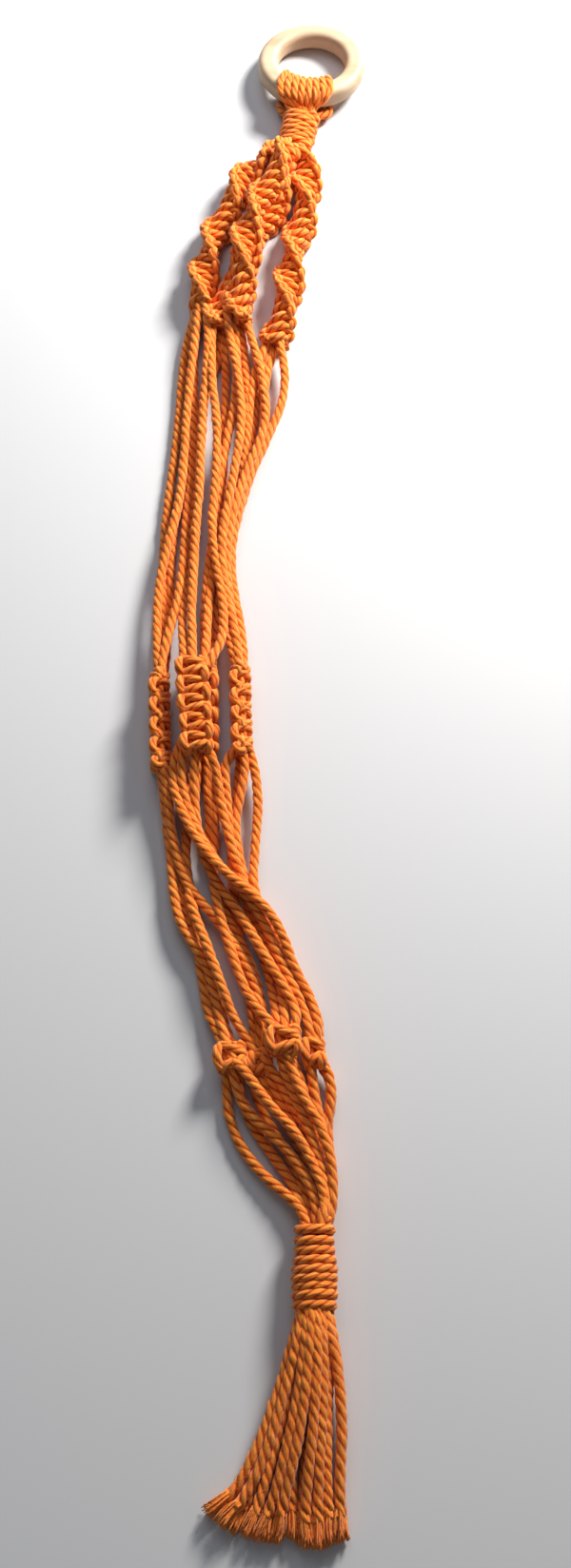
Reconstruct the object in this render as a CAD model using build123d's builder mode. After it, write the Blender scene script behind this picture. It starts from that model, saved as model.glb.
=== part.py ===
"""Hanging macrame planter: a wooden ring, eight long cords folded over it, and two wrapping cords.

Millimetres. The planter lies collapsed on the plane z = 0 with the ring at +Y and the tassel at -Y.
The origin is under the middle of the whole. The eight cords give sixteen strands, which are knotted
into four spirals, four flat sennits and four single knots, and end in the tassel.
"""
import math
import os

from build123d import *

# ---- driving dimensions -------------------------------------------------------------------------
CORD_D = 4.1            # three-ply cotton cord, loose
SQUEEZED_D = 3.6        # the same cord where it is pulled tight
CLEARANCE = 0.4         # between a cord's end and a knot on another body

RING_OUTER_D = 55.0
RING_INNER_D = 35.0
RING_BAR = 10.0         # height of the ring's bar
RING_EDGE_R = 3.5       # the bar's rounded edges
RING_TILT = 6.2         # degrees: the near side rests on the cords that pass under it
RING_X = 23.4
RING_Y = 337.4

LOOPS = 8
LOOP_PITCH = 3.45       # from one cord to the next along the ring's bar
LOOP_MIDDLE_X = 20.4
LOOP_SPLAY = 0.45       # how far a loop turns from the planter's line towards the ring's radius
LOOP_GAP = 0.3          # between the bar and the cord's surface
LOOP_CORNER_R = 5.0     # the fold round the bar's rounded edges
LOOP_MOUTH_R = 2.6      # the turn where a fold comes out of the top wrap
LEG_SPREAD = 2.6        # half the height between a fold's two legs at the wrap

WRAP_TOP = (18.4, 305.0, 8.0)
WRAP_BOTTOM = (14.6, 283.2, 8.0)
WRAP_WIDTH = 19.0
WRAP_HEIGHT = 15.6
WRAP_WALL = 3.0         # the wrapping cord, squeezed flat
NECK_OUT = 1.0          # how far the bundle stands out of the top wrap

SPIRAL_D = 13.6
SENNIT_WIDTH = 16.0
SENNIT_THICK = 10.4
KNOT_EDGE_R = 3.6

LOW_WRAP_TOP = (21.3, -247.5, 7.8)
LOW_WRAP_BOTTOM = (21.3, -281.0, 7.8)
LOW_WRAP_WIDTH = 17.2
LOW_WRAP_HEIGHT = 15.4
TASSEL_START_Y = -286.6
TASSEL_NECK_GROWTH = 1.12

RUN_SHARE = 0.45        # of the shorter adjoining run, taken up by an arc

# ---- centre lines of the four spirals, from the top wrap down -----------------------------------
SPIRALS = {
    "left": [(5, 280, 7.2), (-8, 269, 7), (-15, 257, 7), (-19, 245, 7), (-24, 232, 7),
             (-28, 218, 7), (-31, 203, 7), (-32.5, 187, 7)],
    "front": [(11, 279, 14), (6.5, 267, 15.5), (2.5, 254, 16), (-3, 242, 15.5), (-8, 229, 15),
              (-11.5, 215, 14.5), (-12.3, 200, 13), (-11.5, 186, 11), (-10.5, 176, 9.5)],
    "rear": [(12, 277, 7), (9.5, 265, 7), (6, 252, 7), (1.5, 239, 7), (-4.5, 226, 7),
             (-11, 213, 7), (-17, 200, 7), (-21, 187, 7), (-22, 175, 7)],
    "right": [(18.6, 279, 7.2), (20.4, 268, 7), (19.9, 255, 7), (18.3, 241, 7), (16, 227, 7),
              (13, 213, 7), (11.2, 199, 7), (8.7, 185, 7), (6, 173, 7), (5, 164, 7)],
}

# ---- flat sennits and single knots: top, bottom, roll about their length, width, thickness ------
SENNITS = {
    "left": ((-45.8, -9, 8.1), (-43.6, -56, 8.1), 88, SENNIT_WIDTH, SENNIT_THICK),
    "front": ((-31.5, -6.5, 16.2), (-27.6, -51, 16.2), 0, SENNIT_WIDTH, SENNIT_THICK),
    "rear": ((-27.4, -5, 5.4), (-26, -47, 5.4), 0, SENNIT_WIDTH, SENNIT_THICK),
    "right": ((-10, -6, 8.1), (-8.4, -49, 8.1), 88, SENNIT_WIDTH, SENNIT_THICK),
}
KNOTS = {
    "left": ((-13.6, -175.5, 5.9), (-12.4, -187.5, 5.9), 0, 11.0, 11.4),
    "rear": ((-0.6, -178, 4.3), (-0.2, -189, 4.3), 0, 10.0, 8.2),
    "front": ((9.3, -170, 13.1), (9.7, -182, 13.1), 0, 14.0, 9.0),
    "right": ((21.3, -173, 6.3), (21.6, -186, 6.3), 0, 9.0, 12.0),
}

# ---- cord routes, one list of corner points for each strand --------------------------------------
UPPER_CORDS = {
    "left": [
        [(-35, 181, 4), (-38.5, 166, 3), (-40, 146, 2.3), (-41, 122, 2.2), (-43, 98, 2.2),
         (-45.5, 72, 2.3), (-46.5, 48, 2.2), (-45.5, 24, 3), (-45, 6, 5), (-45.5, -8.4, 6.5)],
        [(-32, 183, 9), (-33.5, 168, 8), (-35.5, 148, 6), (-37, 124, 5.5), (-37.5, 102, 5.6),
         (-39, 80, 6), (-42.5, 61, 7.5), (-46.3, 43, 7.4), (-48, 25, 7.6), (-47.5, 8, 9),
         (-46.5, -8.4, 10.5)],
        [(-28.5, 183, 11), (-27, 170, 9.5), (-27.8, 152, 8.5), (-28.8, 132, 8), (-29.6, 108, 8.1),
         (-29.8, 84, 8.5), (-31.3, 62, 9), (-31.6, 40, 10.4), (-32.2, 20, 12.5), (-31.5, 6.5, 14.4),
         (-31, -5.2, 15.6)],
        [(-34.5, 180, 5), (-33.8, 160, 4), (-33.8, 138, 3.1), (-33.2, 114, 3), (-34.5, 90, 3.3),
         (-36.3, 66, 4.5), (-36.6, 46, 6.2), (-38.2, 29, 8.6), (-41, 14, 9.6), (-43.6, 2, 10.4),
         (-45, -8.4, 11.6)],
    ],
    "rear": [
        [(-25, 180, 8), (-25.6, 164, 9), (-25.4, 146, 9.5), (-23, 128, 9.6), (-21.8, 108, 9.2),
         (-22.5, 86, 9), (-24, 68, 9.5), (-22.5, 50, 10.2), (-19.3, 33, 10.6), (-17.3, 16, 11.6),
         (-18.2, 3.5, 13.6), (-21.6, -4.4, 15.4)],
        [(-20.5, 176, 4), (-19, 158, 3), (-18.5, 138, 2.4), (-19.3, 117, 2.3), (-19, 96, 2.4),
         (-20.2, 75, 3), (-22, 55, 4.2), (-24, 36, 6.2), (-25.2, 18, 9.2), (-25, 5, 12),
         (-25.6, -4.7, 14)],
        [(-24.5, 172, 3), (-26.5, 152, 2.4), (-29.5, 130, 2.3), (-31.5, 108, 2.3), (-32, 86, 2.5),
         (-33, 66, 3), (-35, 48, 3.6), (-36, 32, 6), (-36.5, 17, 9.5), (-35.6, 5, 12.4),
         (-35, -5.5, 14.6)],
        [(-21, 168, 3), (-25, 150, 2.3), (-31, 130, 2.2), (-35.5, 110, 2.2), (-39, 90, 2.3),
         (-41.5, 70, 2.2), (-42.7, 50, 2.3), (-42.6, 30, 2.4), (-42.8, 12, 3.6), (-44, -8.4, 5)],
    ],
    "front": [
        [(-18.5, 184, 12), (-17, 169, 11), (-13.8, 153, 10), (-11.2, 136, 9.5), (-10.6, 118, 9.4),
         (-12.8, 100, 9.6), (-15.5, 82, 10), (-18.6, 64, 10.3), (-19.2, 46, 10.2), (-16.6, 28, 9.6),
         (-12.8, 12, 9.3), (-10.6, -4.9, 10.4)],
        [(-9, 176, 11), (-5.5, 164, 9.5), (-2, 150, 8.5), (0.3, 136, 8), (0.8, 122, 7.8),
         (-2.6, 108, 8), (-7.6, 94, 8.1), (-11.6, 79, 8.2), (-15, 64, 8.1), (-17.1, 48, 7.6),
         (-15.6, 30, 6.8), (-13, 14, 6.2), (-11.2, -4.9, 7.4)],
        [(-12, 176, 7), (-9.5, 160, 5.5), (-8.3, 142, 5), (-7.8, 124, 4.9), (-8.8, 106, 4.2),
         (-11.5, 88, 4.1), (-15.5, 72, 5), (-18.5, 56, 6), (-19.6, 40, 6.5), (-18.5, 24, 7),
         (-16, 10, 8), (-12.2, -4.9, 9.6)],
        [(-14.5, 178, 9), (-13.5, 163, 7), (-13.2, 146, 5.8), (-14.6, 128, 6.2), (-18, 110, 6.3),
         (-20.3, 90, 6.1), (-21.8, 70, 6.2), (-24.5, 52, 6), (-26, 34, 5.9), (-26.5, 15, 6.4),
         (-26.2, -3.9, 6.6)],
    ],
    "right": [
        [(7, 166, 7), (9.3, 155, 6), (9.8, 144, 5.5), (8, 131, 5.4), (3.5, 119, 5.6), (-1, 107, 5.5),
         (-5.4, 93, 5.4), (-9.4, 78, 5.5), (-13.2, 62, 5), (-15.2, 46, 4.6), (-12.9, 29, 4.5),
         (-9.8, 13, 5), (-8.4, -4.9, 6.4)],
        [(2, 169, 7), (-2.5, 158, 6), (-5.8, 145, 5.6), (-7, 129, 5.5), (-8, 112, 3),
         (-10.5, 95, 2.4), (-13.8, 78, 2.3), (-17.5, 62, 2.4), (-20.5, 46, 2.3), (-23, 30, 2.5),
         (-24.2, 13, 3.5), (-24.6, -3.9, 4.6)],
        [(4, 168, 4.5), (-0.5, 156, 3), (-3.8, 143, 2.3), (-4.8, 127, 2.2), (-6.5, 111, 2.3),
         (-9, 95, 2.2), (-12, 79, 2.3), (-15.5, 63, 2.2), (-18.5, 47, 2.3), (-20.7, 31, 2.4),
         (-21.8, 13, 3), (-22.4, -3.9, 4)],
        [(5, 166, 3.5), (1.5, 154, 3.4), (-0.5, 141, 3.3), (-0.2, 127, 3.5), (-1, 113, 3.4),
         (-5.2, 98, 3.3), (-9.6, 83, 3.4), (-13.4, 67, 3), (-17.2, 50, 2.6), (-20.5, 33, 3),
         (-23.4, 15, 4.2), (-27.8, -3.9, 5)],
    ],
}
MIDDLE_CORDS = {
    "front": [
        [(-36.2, -47.6, 12), (-38.9, -57.4, 11), (-37.8, -67, 11.3), (-34.3, -77, 12),
         (-29.3, -87, 12.6), (-23, -96, 13), (-16, -104, 13.4), (-8.5, -110, 13.5),
         (-2, -116, 13), (4, -122.5, 12), (9, -131, 10.6), (12, -141, 9), (16.5, -150, 8),
         (20.6, -158, 7.5), (23.1, -166, 7.6), (23, -171.8, 8)],
        [(-33.6, -49.5, 14), (-35.2, -59.5, 12), (-33.5, -69, 11), (-29.7, -80, 10.5), (-25, -90, 10.2),
         (-19, -99, 10), (-12.5, -106.5, 9.9), (-6, -113.5, 9.5), (-0.5, -122, 9),
         (4, -132, 8.4), (8, -142, 8), (13, -152, 7.8), (17.5, -162, 8.2), (19.9, -171.8, 9)],
        [(-28.8, -49.5, 15.5), (-29.6, -59.5, 12.5), (-29, -70, 10.3), (-28, -82, 8.5),
         (-25.5, -94, 7.5), (-20.5, -105, 7.1), (-14.5, -114, 7.5), (-8.5, -122, 8.6),
         (-3.7, -131, 9.5), (1.5, -140, 10), (6.5, -148, 10.1), (11, -156, 10.4),
         (14.1, -163, 11), (14.4, -168.6, 12.2)],
        [(-23.8, -49.5, 16), (-20.2, -55.5, 14.5), (-18.8, -64.5, 12), (-17.3, -75, 10.4),
         (-14.3, -87, 9.5), (-10.8, -99, 8), (-6.5, -110, 6), (-2, -121, 4.8), (2.5, -132, 4.6),
         (6, -143, 5), (8.5, -154, 6.5), (9.5, -162, 8.6), (9.8, -168.6, 11)],
    ],
    "rear": [
        [(-24, -45, 6), (-24, -60, 4.5), (-22.8, -75, 3.6), (-23, -90, 3.1), (-21.5, -102, 2.8),
         (-17.5, -113, 3), (-13, -124, 3.2), (-7.5, -135, 3.3), (-3, -146, 3.5),
         (0, -157, 4), (1.2, -168, 4.6), (1, -176.6, 5)],
        [(-27, -45, 4.6), (-28.5, -60, 3), (-30.5, -74, 3.1), (-32.8, -88, 4), (-32.3, -101, 5.3),
         (-30.6, -112, 6.4), (-28.3, -122, 7.5), (-24, -131.5, 8.4), (-20.8, -140.5, 9.2),
         (-17.2, -150, 9.5), (-14, -159, 8.6), (-10.4, -167.5, 7), (-6, -173.5, 6),
         (-3.6, -176.6, 5.6)],
        [(-22, -45, 4.6), (-21, -60, 3.1), (-20.5, -74, 3.5), (-20.3, -88, 4.4), (-21.2, -100, 5),
         (-20, -111, 6.2), (-17.6, -121, 7.4), (-14.8, -131, 8.4), (-11.6, -141, 9),
         (-8.3, -150.5, 9.3), (-4.3, -158.5, 9.7), (0.4, -165, 10.4), (4.4, -168.6, 11.4)],
        [(-29.6, -45, 3.8), (-31.5, -61, 2.4), (-33, -77, 2.3), (-33.2, -92, 2.2),
         (-31, -107, 2.3), (-27.5, -121, 2.4), (-23.5, -134, 2.6), (-20.2, -147, 2.5),
         (-16.8, -160, 3), (-14, -174.2, 4.6)],
    ],
    "right": [
        [(-9.6, -45.6, 9), (-14.2, -49.6, 10), (-16.6, -56.4, 9), (-15.4, -68, 7.5),
         (-14.3, -81, 6.4), (-12.5, -93, 5.4), (-9.8, -104, 4.4), (-6.5, -115, 2.8),
         (-3, -126, 2.3), (0.2, -137, 2.4), (3.4, -148, 3.2), (5.6, -159, 5.4), (6.8, -168.6, 9.6)],
        [(-8.2, -47, 9), (-7.6, -59, 7), (-10.1, -69, 6), (-11.6, -79, 5.1), (-10.8, -90, 5.5),
         (-8.6, -101, 5.4), (-5, -111, 3.6), (-1, -121, 2.4), (4.5, -131, 2.3), (9, -141, 2.5),
         (14, -151, 3), (18.2, -161.5, 4.2), (20.6, -171.8, 5.6)],
        [(-5.6, -47, 7), (-2.4, -59, 5), (-1.9, -72, 4.5), (-2.6, -85, 4.4), (-3.4, -97, 5),
         (-3.8, -108, 6), (-1, -118, 6.1), (4.5, -127, 5.5), (9, -137, 5), (14, -147, 4.6),
         (20, -157, 4.5), (23.4, -165, 4.8), (24, -171.8, 5.6)],
        [(-9.6, -47, 4.4), (-10.5, -61, 2.6), (-12.5, -76, 2.3), (-13.3, -90, 2.4),
         (-12.6, -104, 2.3), (-11, -118, 2.4), (-9, -132, 2.3), (-6.5, -146, 2.4),
         (-4, -160, 3), (-2.4, -176.6, 4)],
    ],
    "left": [
        [(-44, -54, 5), (-42, -68, 3), (-40.3, -82, 2.3), (-37.5, -96, 2.4), (-34, -110, 2.3),
         (-29.5, -124, 2.2), (-26.5, -137, 2.3), (-24.3, -150, 2.4), (-22.7, -160, 3),
         (-19.4, -168.4, 4.4), (-16.4, -174.2, 5.8)],
        [(-42.6, -54, 8), (-40.8, -67, 6.5), (-39.6, -80, 5.5), (-39.2, -93, 5.1),
         (-38, -105, 5), (-36.6, -117, 5.2), (-33, -127, 5.5), (-27.5, -135.5, 5.8),
         (-22.5, -143.5, 5.2), (-19.6, -153, 4.6), (-17.4, -164, 5.4), (-14.6, -174.2, 7.6)],
        [(-43, -54, 11), (-41, -69, 8.5), (-39, -82, 7.4), (-36.5, -95, 7), (-32.5, -106, 6.4),
         (-27.5, -113.5, 6.5), (-21.5, -120, 6.1), (-16, -127, 5.8), (-11, -134.5, 6),
         (-6.5, -142.5, 6.1), (-2.8, -151, 6), (-0.6, -160, 5.8), (-0.4, -169, 5.2),
         (-1, -176.6, 4.8)],
        [(-44.5, -54, 8), (-42, -70, 6), (-40.8, -84, 3.2), (-38.5, -98, 2.6), (-35, -112, 2.3),
         (-30, -125, 2.4), (-25.5, -138, 2.2), (-22.3, -150, 2.3), (-18.4, -162, 2.8),
         (-12.2, -174.2, 4.6)],
    ],
}
LOWER_CORDS = {
    "left": [
        [(-13.8, -185, 4.4), (-14, -195, 3), (-13.1, -204, 2.5), (-10.5, -212.5, 2.3),
         (-6, -220, 2.4), (-0.5, -227, 2.8), (5.5, -232.5, 3.5), (11, -237, 4.4),
         (15.8, -242, 6), (18, -246.2, 7)],
        [(-12, -183.4, 8.4), (-7.2, -187, 10), (-3.8, -192, 10.4), (0.5, -198, 10.5),
         (5.5, -204, 10.4), (11.5, -210, 10.2), (16.5, -216.5, 10), (20.5, -224, 9.7),
         (24, -232, 10), (25.8, -240, 10.5), (25.4, -246.2, 11)],
        [(-12, -185, 6), (-10, -195, 6.2), (-6, -203, 6), (-0.5, -208.5, 6.2), (5.5, -214, 6.5),
         (11, -219.5, 7), (15.5, -226, 7.1), (19.5, -233, 7.5), (22, -240, 8), (22.4, -246.2, 8.2)],
        [(-10.6, -185, 3.8), (-8.6, -196, 2.4), (-5, -206, 2.3), (0, -214, 2.2), (5.5, -221.5, 2.4),
         (11, -229, 3), (15.5, -237.5, 4.2), (17.4, -246.2, 6)],
    ],
    "rear": [
        [(1.4, -184, 6.4), (5.2, -188, 7.3), (9, -194.5, 7.6), (12.5, -201.5, 7.5),
         (17, -208.5, 7.4), (21, -216, 7.3), (24.5, -224, 7), (27, -232, 7.1), (28, -240, 7.6),
         (26.6, -246.2, 8.4)],
        [(-1, -187, 4), (3.5, -196, 3.5), (8, -204, 3.2), (12.5, -211.5, 3), (16.5, -219, 3.1),
         (20, -227, 3.2), (22.4, -236, 3.8), (22.6, -246.2, 4.6)],
        [(-3.2, -187, 3.6), (-2, -197, 2.4), (2, -205.5, 2.3), (7, -213.5, 2.2),
         (11.5, -221, 2.3), (15.5, -229, 2.6), (18.4, -238, 3.6), (19.5, -246.2, 5)],
        [(2, -187, 5), (6.5, -197, 5.6), (11, -205, 5.5), (15, -213, 5.3), (18.5, -221, 5.4),
         (21.5, -229.5, 5.5), (23.6, -238, 6), (24, -246.2, 6.4)],
    ],
    "front": [
        [(10.5, -180.4, 12), (12.5, -188, 12.1), (15.5, -195, 12), (18.8, -202, 11.9),
         (23, -208.5, 11.8), (26, -216, 11.3), (28.1, -224, 10.8), (28.9, -232, 10.2),
         (28.7, -240, 9.6), (27.4, -246.2, 9.2)],
        [(7.5, -180.4, 10.4), (9.5, -188, 9.8), (12.5, -195, 9.7), (15.5, -202.5, 9.4),
         (18.8, -210, 9.2), (21.8, -218, 9), (24.2, -226, 9.1), (25.6, -234, 9.5),
         (25.6, -241, 10.6), (24.2, -246.2, 12)],
        [(12, -180.4, 9.4), (15.5, -190, 6.6), (18.8, -199, 5.4), (21.5, -208, 4.5),
         (23.5, -217, 3.6), (24.8, -226.5, 3.5), (25, -236.5, 4.1), (24, -246.2, 5)],
        [(9, -180.4, 9.4), (11.5, -191, 5.6), (14.3, -200.5, 4.2), (17.8, -210, 3.4),
         (20, -219, 2.5), (22, -228.5, 2.3), (22.2, -238, 3.2), (21, -246.2, 5)],
    ],
    "right": [
        [(20.4, -184, 7.4), (21, -192, 6.2), (22.3, -200, 5.5), (24.3, -208, 5), (26, -216, 4.6),
         (27.3, -224, 4.5), (28, -232, 4.8), (27.4, -240, 5.6), (25.8, -246.2, 6.6)],
        [(23.6, -182, 7), (27.4, -187.5, 6), (28.7, -195.5, 5), (27.8, -204, 4),
         (25.8, -212.5, 2.8), (26.5, -221, 2.4), (28, -229.5, 2.7), (27.6, -238.5, 4),
         (25.4, -246.2, 5.6)],
        [(20, -185, 4), (21.6, -196, 2.8), (22.4, -206, 2.4), (24, -216, 2.3), (25, -226, 2.4),
         (25.2, -236.5, 3), (24, -246.2, 4.2)],
        [(24, -184, 4.5), (28.2, -190.5, 3.2), (28.9, -199.5, 2.4), (26.8, -208.5, 2.2),
         (27.5, -218, 2.3), (28.9, -227.5, 2.5), (28.2, -237.5, 3.2), (25.6, -246.2, 4.8)],
    ],
}
TASSEL = [
    [(14.6, -286.6, 9), (11.5, -297, 8), (7, -311, 7), (1.5, -325, 6), (-4.5, -338, 5),
     (-10.5, -347, 4), (-18.5, -353, 3)],
    [(16, -286.6, 12), (13, -299, 10.5), (8.8, -314, 9), (3.8, -329, 7.5), (-2, -342, 6),
     (-8, -351, 5), (-14, -357, 4)],
    [(17, -286.6, 8.8), (14.8, -298, 8), (11.5, -312, 7), (7, -326, 6), (2, -339, 5),
     (-3.5, -349.5, 4), (-9.5, -358.5, 2.6)],
    [(15.2, -286.6, 6), (12.3, -297, 5), (9, -311, 3.6), (5, -325, 2.6), (0.5, -338, 2.4),
     (-4.5, -349, 2.3), (-10, -359, 2.2)],
    [(18, -286.6, 13), (16.7, -299, 12), (14.3, -314, 10.5), (10.8, -329, 9), (7.3, -342, 7),
     (4.3, -353, 4.5), (1, -361.5, 2.6)],
    [(20, -286.6, 14), (18.7, -300, 13), (16.8, -316, 11.5), (14, -331, 9.5), (10.5, -344, 7),
     (8, -354, 4.8), (6.5, -362, 3)],
    [(19.5, -286.6, 9.8), (18.3, -298, 8.5), (15.5, -312, 7), (13.5, -326, 5.5),
     (12.5, -339, 4.2), (12.5, -351, 3), (12.8, -361, 2.4)],
    [(22, -286.6, 14), (22.1, -300, 13), (21, -316, 11.5), (19.5, -331, 9.5), (17.8, -345, 6.5),
     (17.2, -355, 4.5), (18, -364, 3)],
    [(24, -286.6, 13), (24.5, -299, 11.5), (24.2, -314, 10), (23.2, -329, 8.5), (22.3, -342, 6.5),
     (22, -353, 4.5), (22.3, -364.5, 3)],
    [(24.5, -286.6, 9.8), (26, -298, 8.5), (26.2, -312, 7), (25.5, -326, 6), (25.6, -340, 5),
     (26, -352, 4), (26.2, -363, 2.8)],
    [(26.2, -286.6, 11), (29, -297, 9.8), (31, -311, 8.3), (31.4, -326, 7), (30.3, -340, 5.5),
     (30.2, -351.5, 4), (29.8, -362, 2.8)],
    [(27.5, -286.6, 8), (29.3, -296, 6.5), (30.8, -309, 5), (31.4, -323, 4), (30.5, -337, 3),
     (30.5, -350, 2.4), (30.8, -362, 2.2)],
    [(20, -286.6, 5.8), (19.8, -298, 4.6), (18.4, -312, 3.4), (17.5, -326, 2.5), (17.3, -340, 2.3),
     (16.2, -352, 2.2), (15.5, -363, 2.3)],
    [(23, -286.6, 5.8), (23.5, -298, 4.6), (23.3, -312, 3.4), (22.2, -326, 2.5), (20.9, -340, 2.3),
     (20, -352, 2.2), (20, -363, 2.3)],
    [(17.5, -286.6, 4.8), (15.8, -298, 3.6), (13.5, -312, 2.6), (11.3, -326, 2.3), (8, -339, 2.2),
     (5.5, -351, 2.3), (3.5, -362, 2.2)],
    [(25.5, -286.6, 4.8), (26.5, -298, 3.8), (26.4, -311, 2.8), (25.3, -324, 2.3),
     (24.5, -338, 2.2), (24.8, -351, 2.3), (24.5, -363.5, 2.2)],
]

os.makedirs("parts", exist_ok=True)


# ---- shared shapes ------------------------------------------------------------------------------
def corner_radii(route):
    """The arc at each corner of a route, as large as its two runs allow."""
    radii = []
    for before, corner, after in zip(route, route[1:], route[2:]):
        run_in = Vector(*corner) - Vector(*before)
        run_out = Vector(*after) - Vector(*corner)
        half_turn = math.radians(run_in.get_angle(run_out) / 2)
        shorter = min(run_in.length, run_out.length)
        radii.append(RUN_SHARE * shorter / math.tan(half_turn))
    return radii


def tube(route, diameter, radii):
    """A plain round tube along straight runs joined by tangent arcs."""
    with BuildPart() as run_of_cord:
        with BuildLine() as line:
            FilletPolyline(*route, radius=radii)
        path = line.wire()
        with BuildSketch(Plane(origin=path @ 0, z_dir=path % 0)):
            Circle(diameter / 2)
        sweep(path=path)
    expected = math.pi * diameter**2 / 4 * path.length
    if abs(run_of_cord.part.volume / expected - 1) > 0.01:
        raise ValueError(f"a tube's volume is off at {route[0]}")
    return run_of_cord.part


def cords(name, routes, diameter=CORD_D):
    """The tubes of some routes, with the tightest arc printed."""
    print(f"{name}: radii", [round(min(corner_radii(route)), 1) for route in routes])
    return [tube(route, diameter, corner_radii(route)) for route in routes]


def save(name, pieces):
    """One STEP file holds one node, with each of its pieces as a separate solid."""
    solids = [solid for piece in pieces for solid in piece.solids()]
    node = solids[0] if len(solids) == 1 else Compound(solids)
    node.label = name
    export_step(node, f"parts/{name}.step")


def along(top, bottom, roll=0.0):
    """The plane across a knot at its top, with local x across its width, and the knot's length."""
    run = Vector(*bottom) - Vector(*top)
    across = Vector(0, 0, 1).cross(run)
    turned = across.rotate(Axis((0, 0, 0), run), roll)
    return Plane(origin=top, x_dir=turned, z_dir=run), run.length


# ---- wooden ring: a rounded square bar, turned; its near side lies on the cords under it ---------
bar_mid_r = (RING_OUTER_D + RING_INNER_D) / 4
tilt = math.radians(RING_TILT)
ring_middle_z = (
    (bar_mid_r + RING_BAR / 2 - RING_EDGE_R) * math.sin(tilt)
    + (RING_BAR / 2 - RING_EDGE_R) * math.cos(tilt)
    + RING_EDGE_R
)
ring_plane = Plane(
    origin=(RING_X, RING_Y, ring_middle_z),
    x_dir=(1, 0, 0),
    z_dir=(0, math.sin(tilt), math.cos(tilt)),
)
ring_across = Plane(origin=ring_plane.origin, x_dir=(1, 0, 0), z_dir=-ring_plane.y_dir)

with BuildPart() as ring:
    with BuildSketch(ring_across):
        with Locations((bar_mid_r, 0)):
            RectangleRounded((RING_OUTER_D - RING_INNER_D) / 2, RING_BAR, RING_EDGE_R)
    revolve(axis=Axis(ring_plane.origin, ring_plane.z_dir))
ring.part.label = "ring"
export_step(ring.part, "parts/ring.step")


# ---- eight cords folded over the ring's near side ------------------------------------------------
def leaves_circle(start, heading, diameter):
    """How far from start a line in the ring's plane, and its cord's two sides, leave a circle."""
    found = []
    for offset in (-CORD_D / 2, 0, CORD_D / 2):
        side_x = start[0] - offset * heading[1]
        side_y = start[1] + offset * heading[0]
        foot = side_x * heading[0] + side_y * heading[1]
        off_line = side_x**2 + side_y**2 - foot**2
        found.append(-foot + math.sqrt(max((diameter / 2) ** 2 - off_line, 0)))
    return found


def fold(number):
    """One fold: out of the top wrap, over the bar, through the ring and back under the bar."""
    offset = number - (LOOPS - 1) / 2
    start_x = LOOP_MIDDLE_X + offset * LOOP_PITCH - RING_X
    start = (start_x, -math.sqrt(bar_mid_r**2 - start_x**2))
    turn = LOOP_SPLAY * math.asin(start_x / bar_mid_r)
    heading = (math.sin(turn), -math.cos(turn))
    gap = SQUEEZED_D / 2 + LOOP_GAP
    outer = max(leaves_circle(start, heading, RING_OUTER_D)) + gap
    inner = min(leaves_circle(start, heading, RING_INNER_D)) - gap
    height = RING_BAR / 2 + gap
    mouth_room = WRAP_WIDTH - 2 * WRAP_WALL - SQUEEZED_D
    mouth_x = WRAP_TOP[0] + offset * mouth_room / (LOOPS - 1)
    mouth_y = WRAP_TOP[1] + NECK_OUT

    def at(reach, rise):
        along_bar = ring_plane.x_dir * (start[0] + reach * heading[0])
        across_bar = ring_plane.y_dir * (start[1] + reach * heading[1])
        return ring_plane.origin + along_bar + across_bar + ring_plane.z_dir * rise

    return [
        Vector(mouth_x, mouth_y, WRAP_TOP[2] + LEG_SPREAD),
        at(outer, height),
        at(inner, height),
        at(inner, -height),
        at(outer, -height),
        Vector(mouth_x, mouth_y, WRAP_TOP[2] - LEG_SPREAD),
    ]


fold_radii = [LOOP_MOUTH_R, LOOP_CORNER_R, LOOP_CORNER_R, LOOP_MOUTH_R]
save("ring_loops", [tube(fold(number), SQUEEZED_D, fold_radii) for number in range(LOOPS)])


# ---- gathering wraps, and the bundle of sixteen strands inside each ------------------------------
def wrap_and_bundle(top, bottom, width, height, out):
    """A sleeve of wound cord and the packed strands through it, which stand out at the top."""
    plane, length = along(top, bottom)
    with BuildPart() as sleeve:
        with BuildSketch(plane):
            Ellipse(width / 2, height / 2)
            Ellipse(width / 2 - WRAP_WALL, height / 2 - WRAP_WALL, mode=Mode.SUBTRACT)
        extrude(amount=length)
    with BuildPart() as bundle:
        with BuildSketch(plane.offset(-out)):
            Ellipse(width / 2 - WRAP_WALL, height / 2 - WRAP_WALL)
        extrude(amount=length + out)
    return sleeve.part, bundle.part


top_wrap, neck_bundle = wrap_and_bundle(WRAP_TOP, WRAP_BOTTOM, WRAP_WIDTH, WRAP_HEIGHT, NECK_OUT)
save("top_wrap", [top_wrap])
save("neck_bundle", [neck_bundle])
low_wrap, low_bundle = wrap_and_bundle(
    LOW_WRAP_TOP, LOW_WRAP_BOTTOM, LOW_WRAP_WIDTH, LOW_WRAP_HEIGHT, 0
)
save("bottom_wrap", [low_wrap])
save("tassel_bundle", [low_bundle])


# ---- spirals, sennits and single knots -----------------------------------------------------------
def knot(top, bottom, roll, width, thickness):
    """A flat knotted length as a plain rounded bar."""
    plane, length = along(top, bottom, roll)
    with BuildPart() as bar:
        with BuildSketch(plane):
            RectangleRounded(width, thickness, KNOT_EDGE_R)
        extrude(amount=length)
    return bar.part


for side, route in SPIRALS.items():
    save(f"{side}_spiral", [tube(route, SPIRAL_D, corner_radii(route))])
for side, sizes in SENNITS.items():
    save(f"{side}_sennit", [knot(*sizes)])
for side, sizes in KNOTS.items():
    save(f"{side}_knot", [knot(*sizes)])


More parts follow.
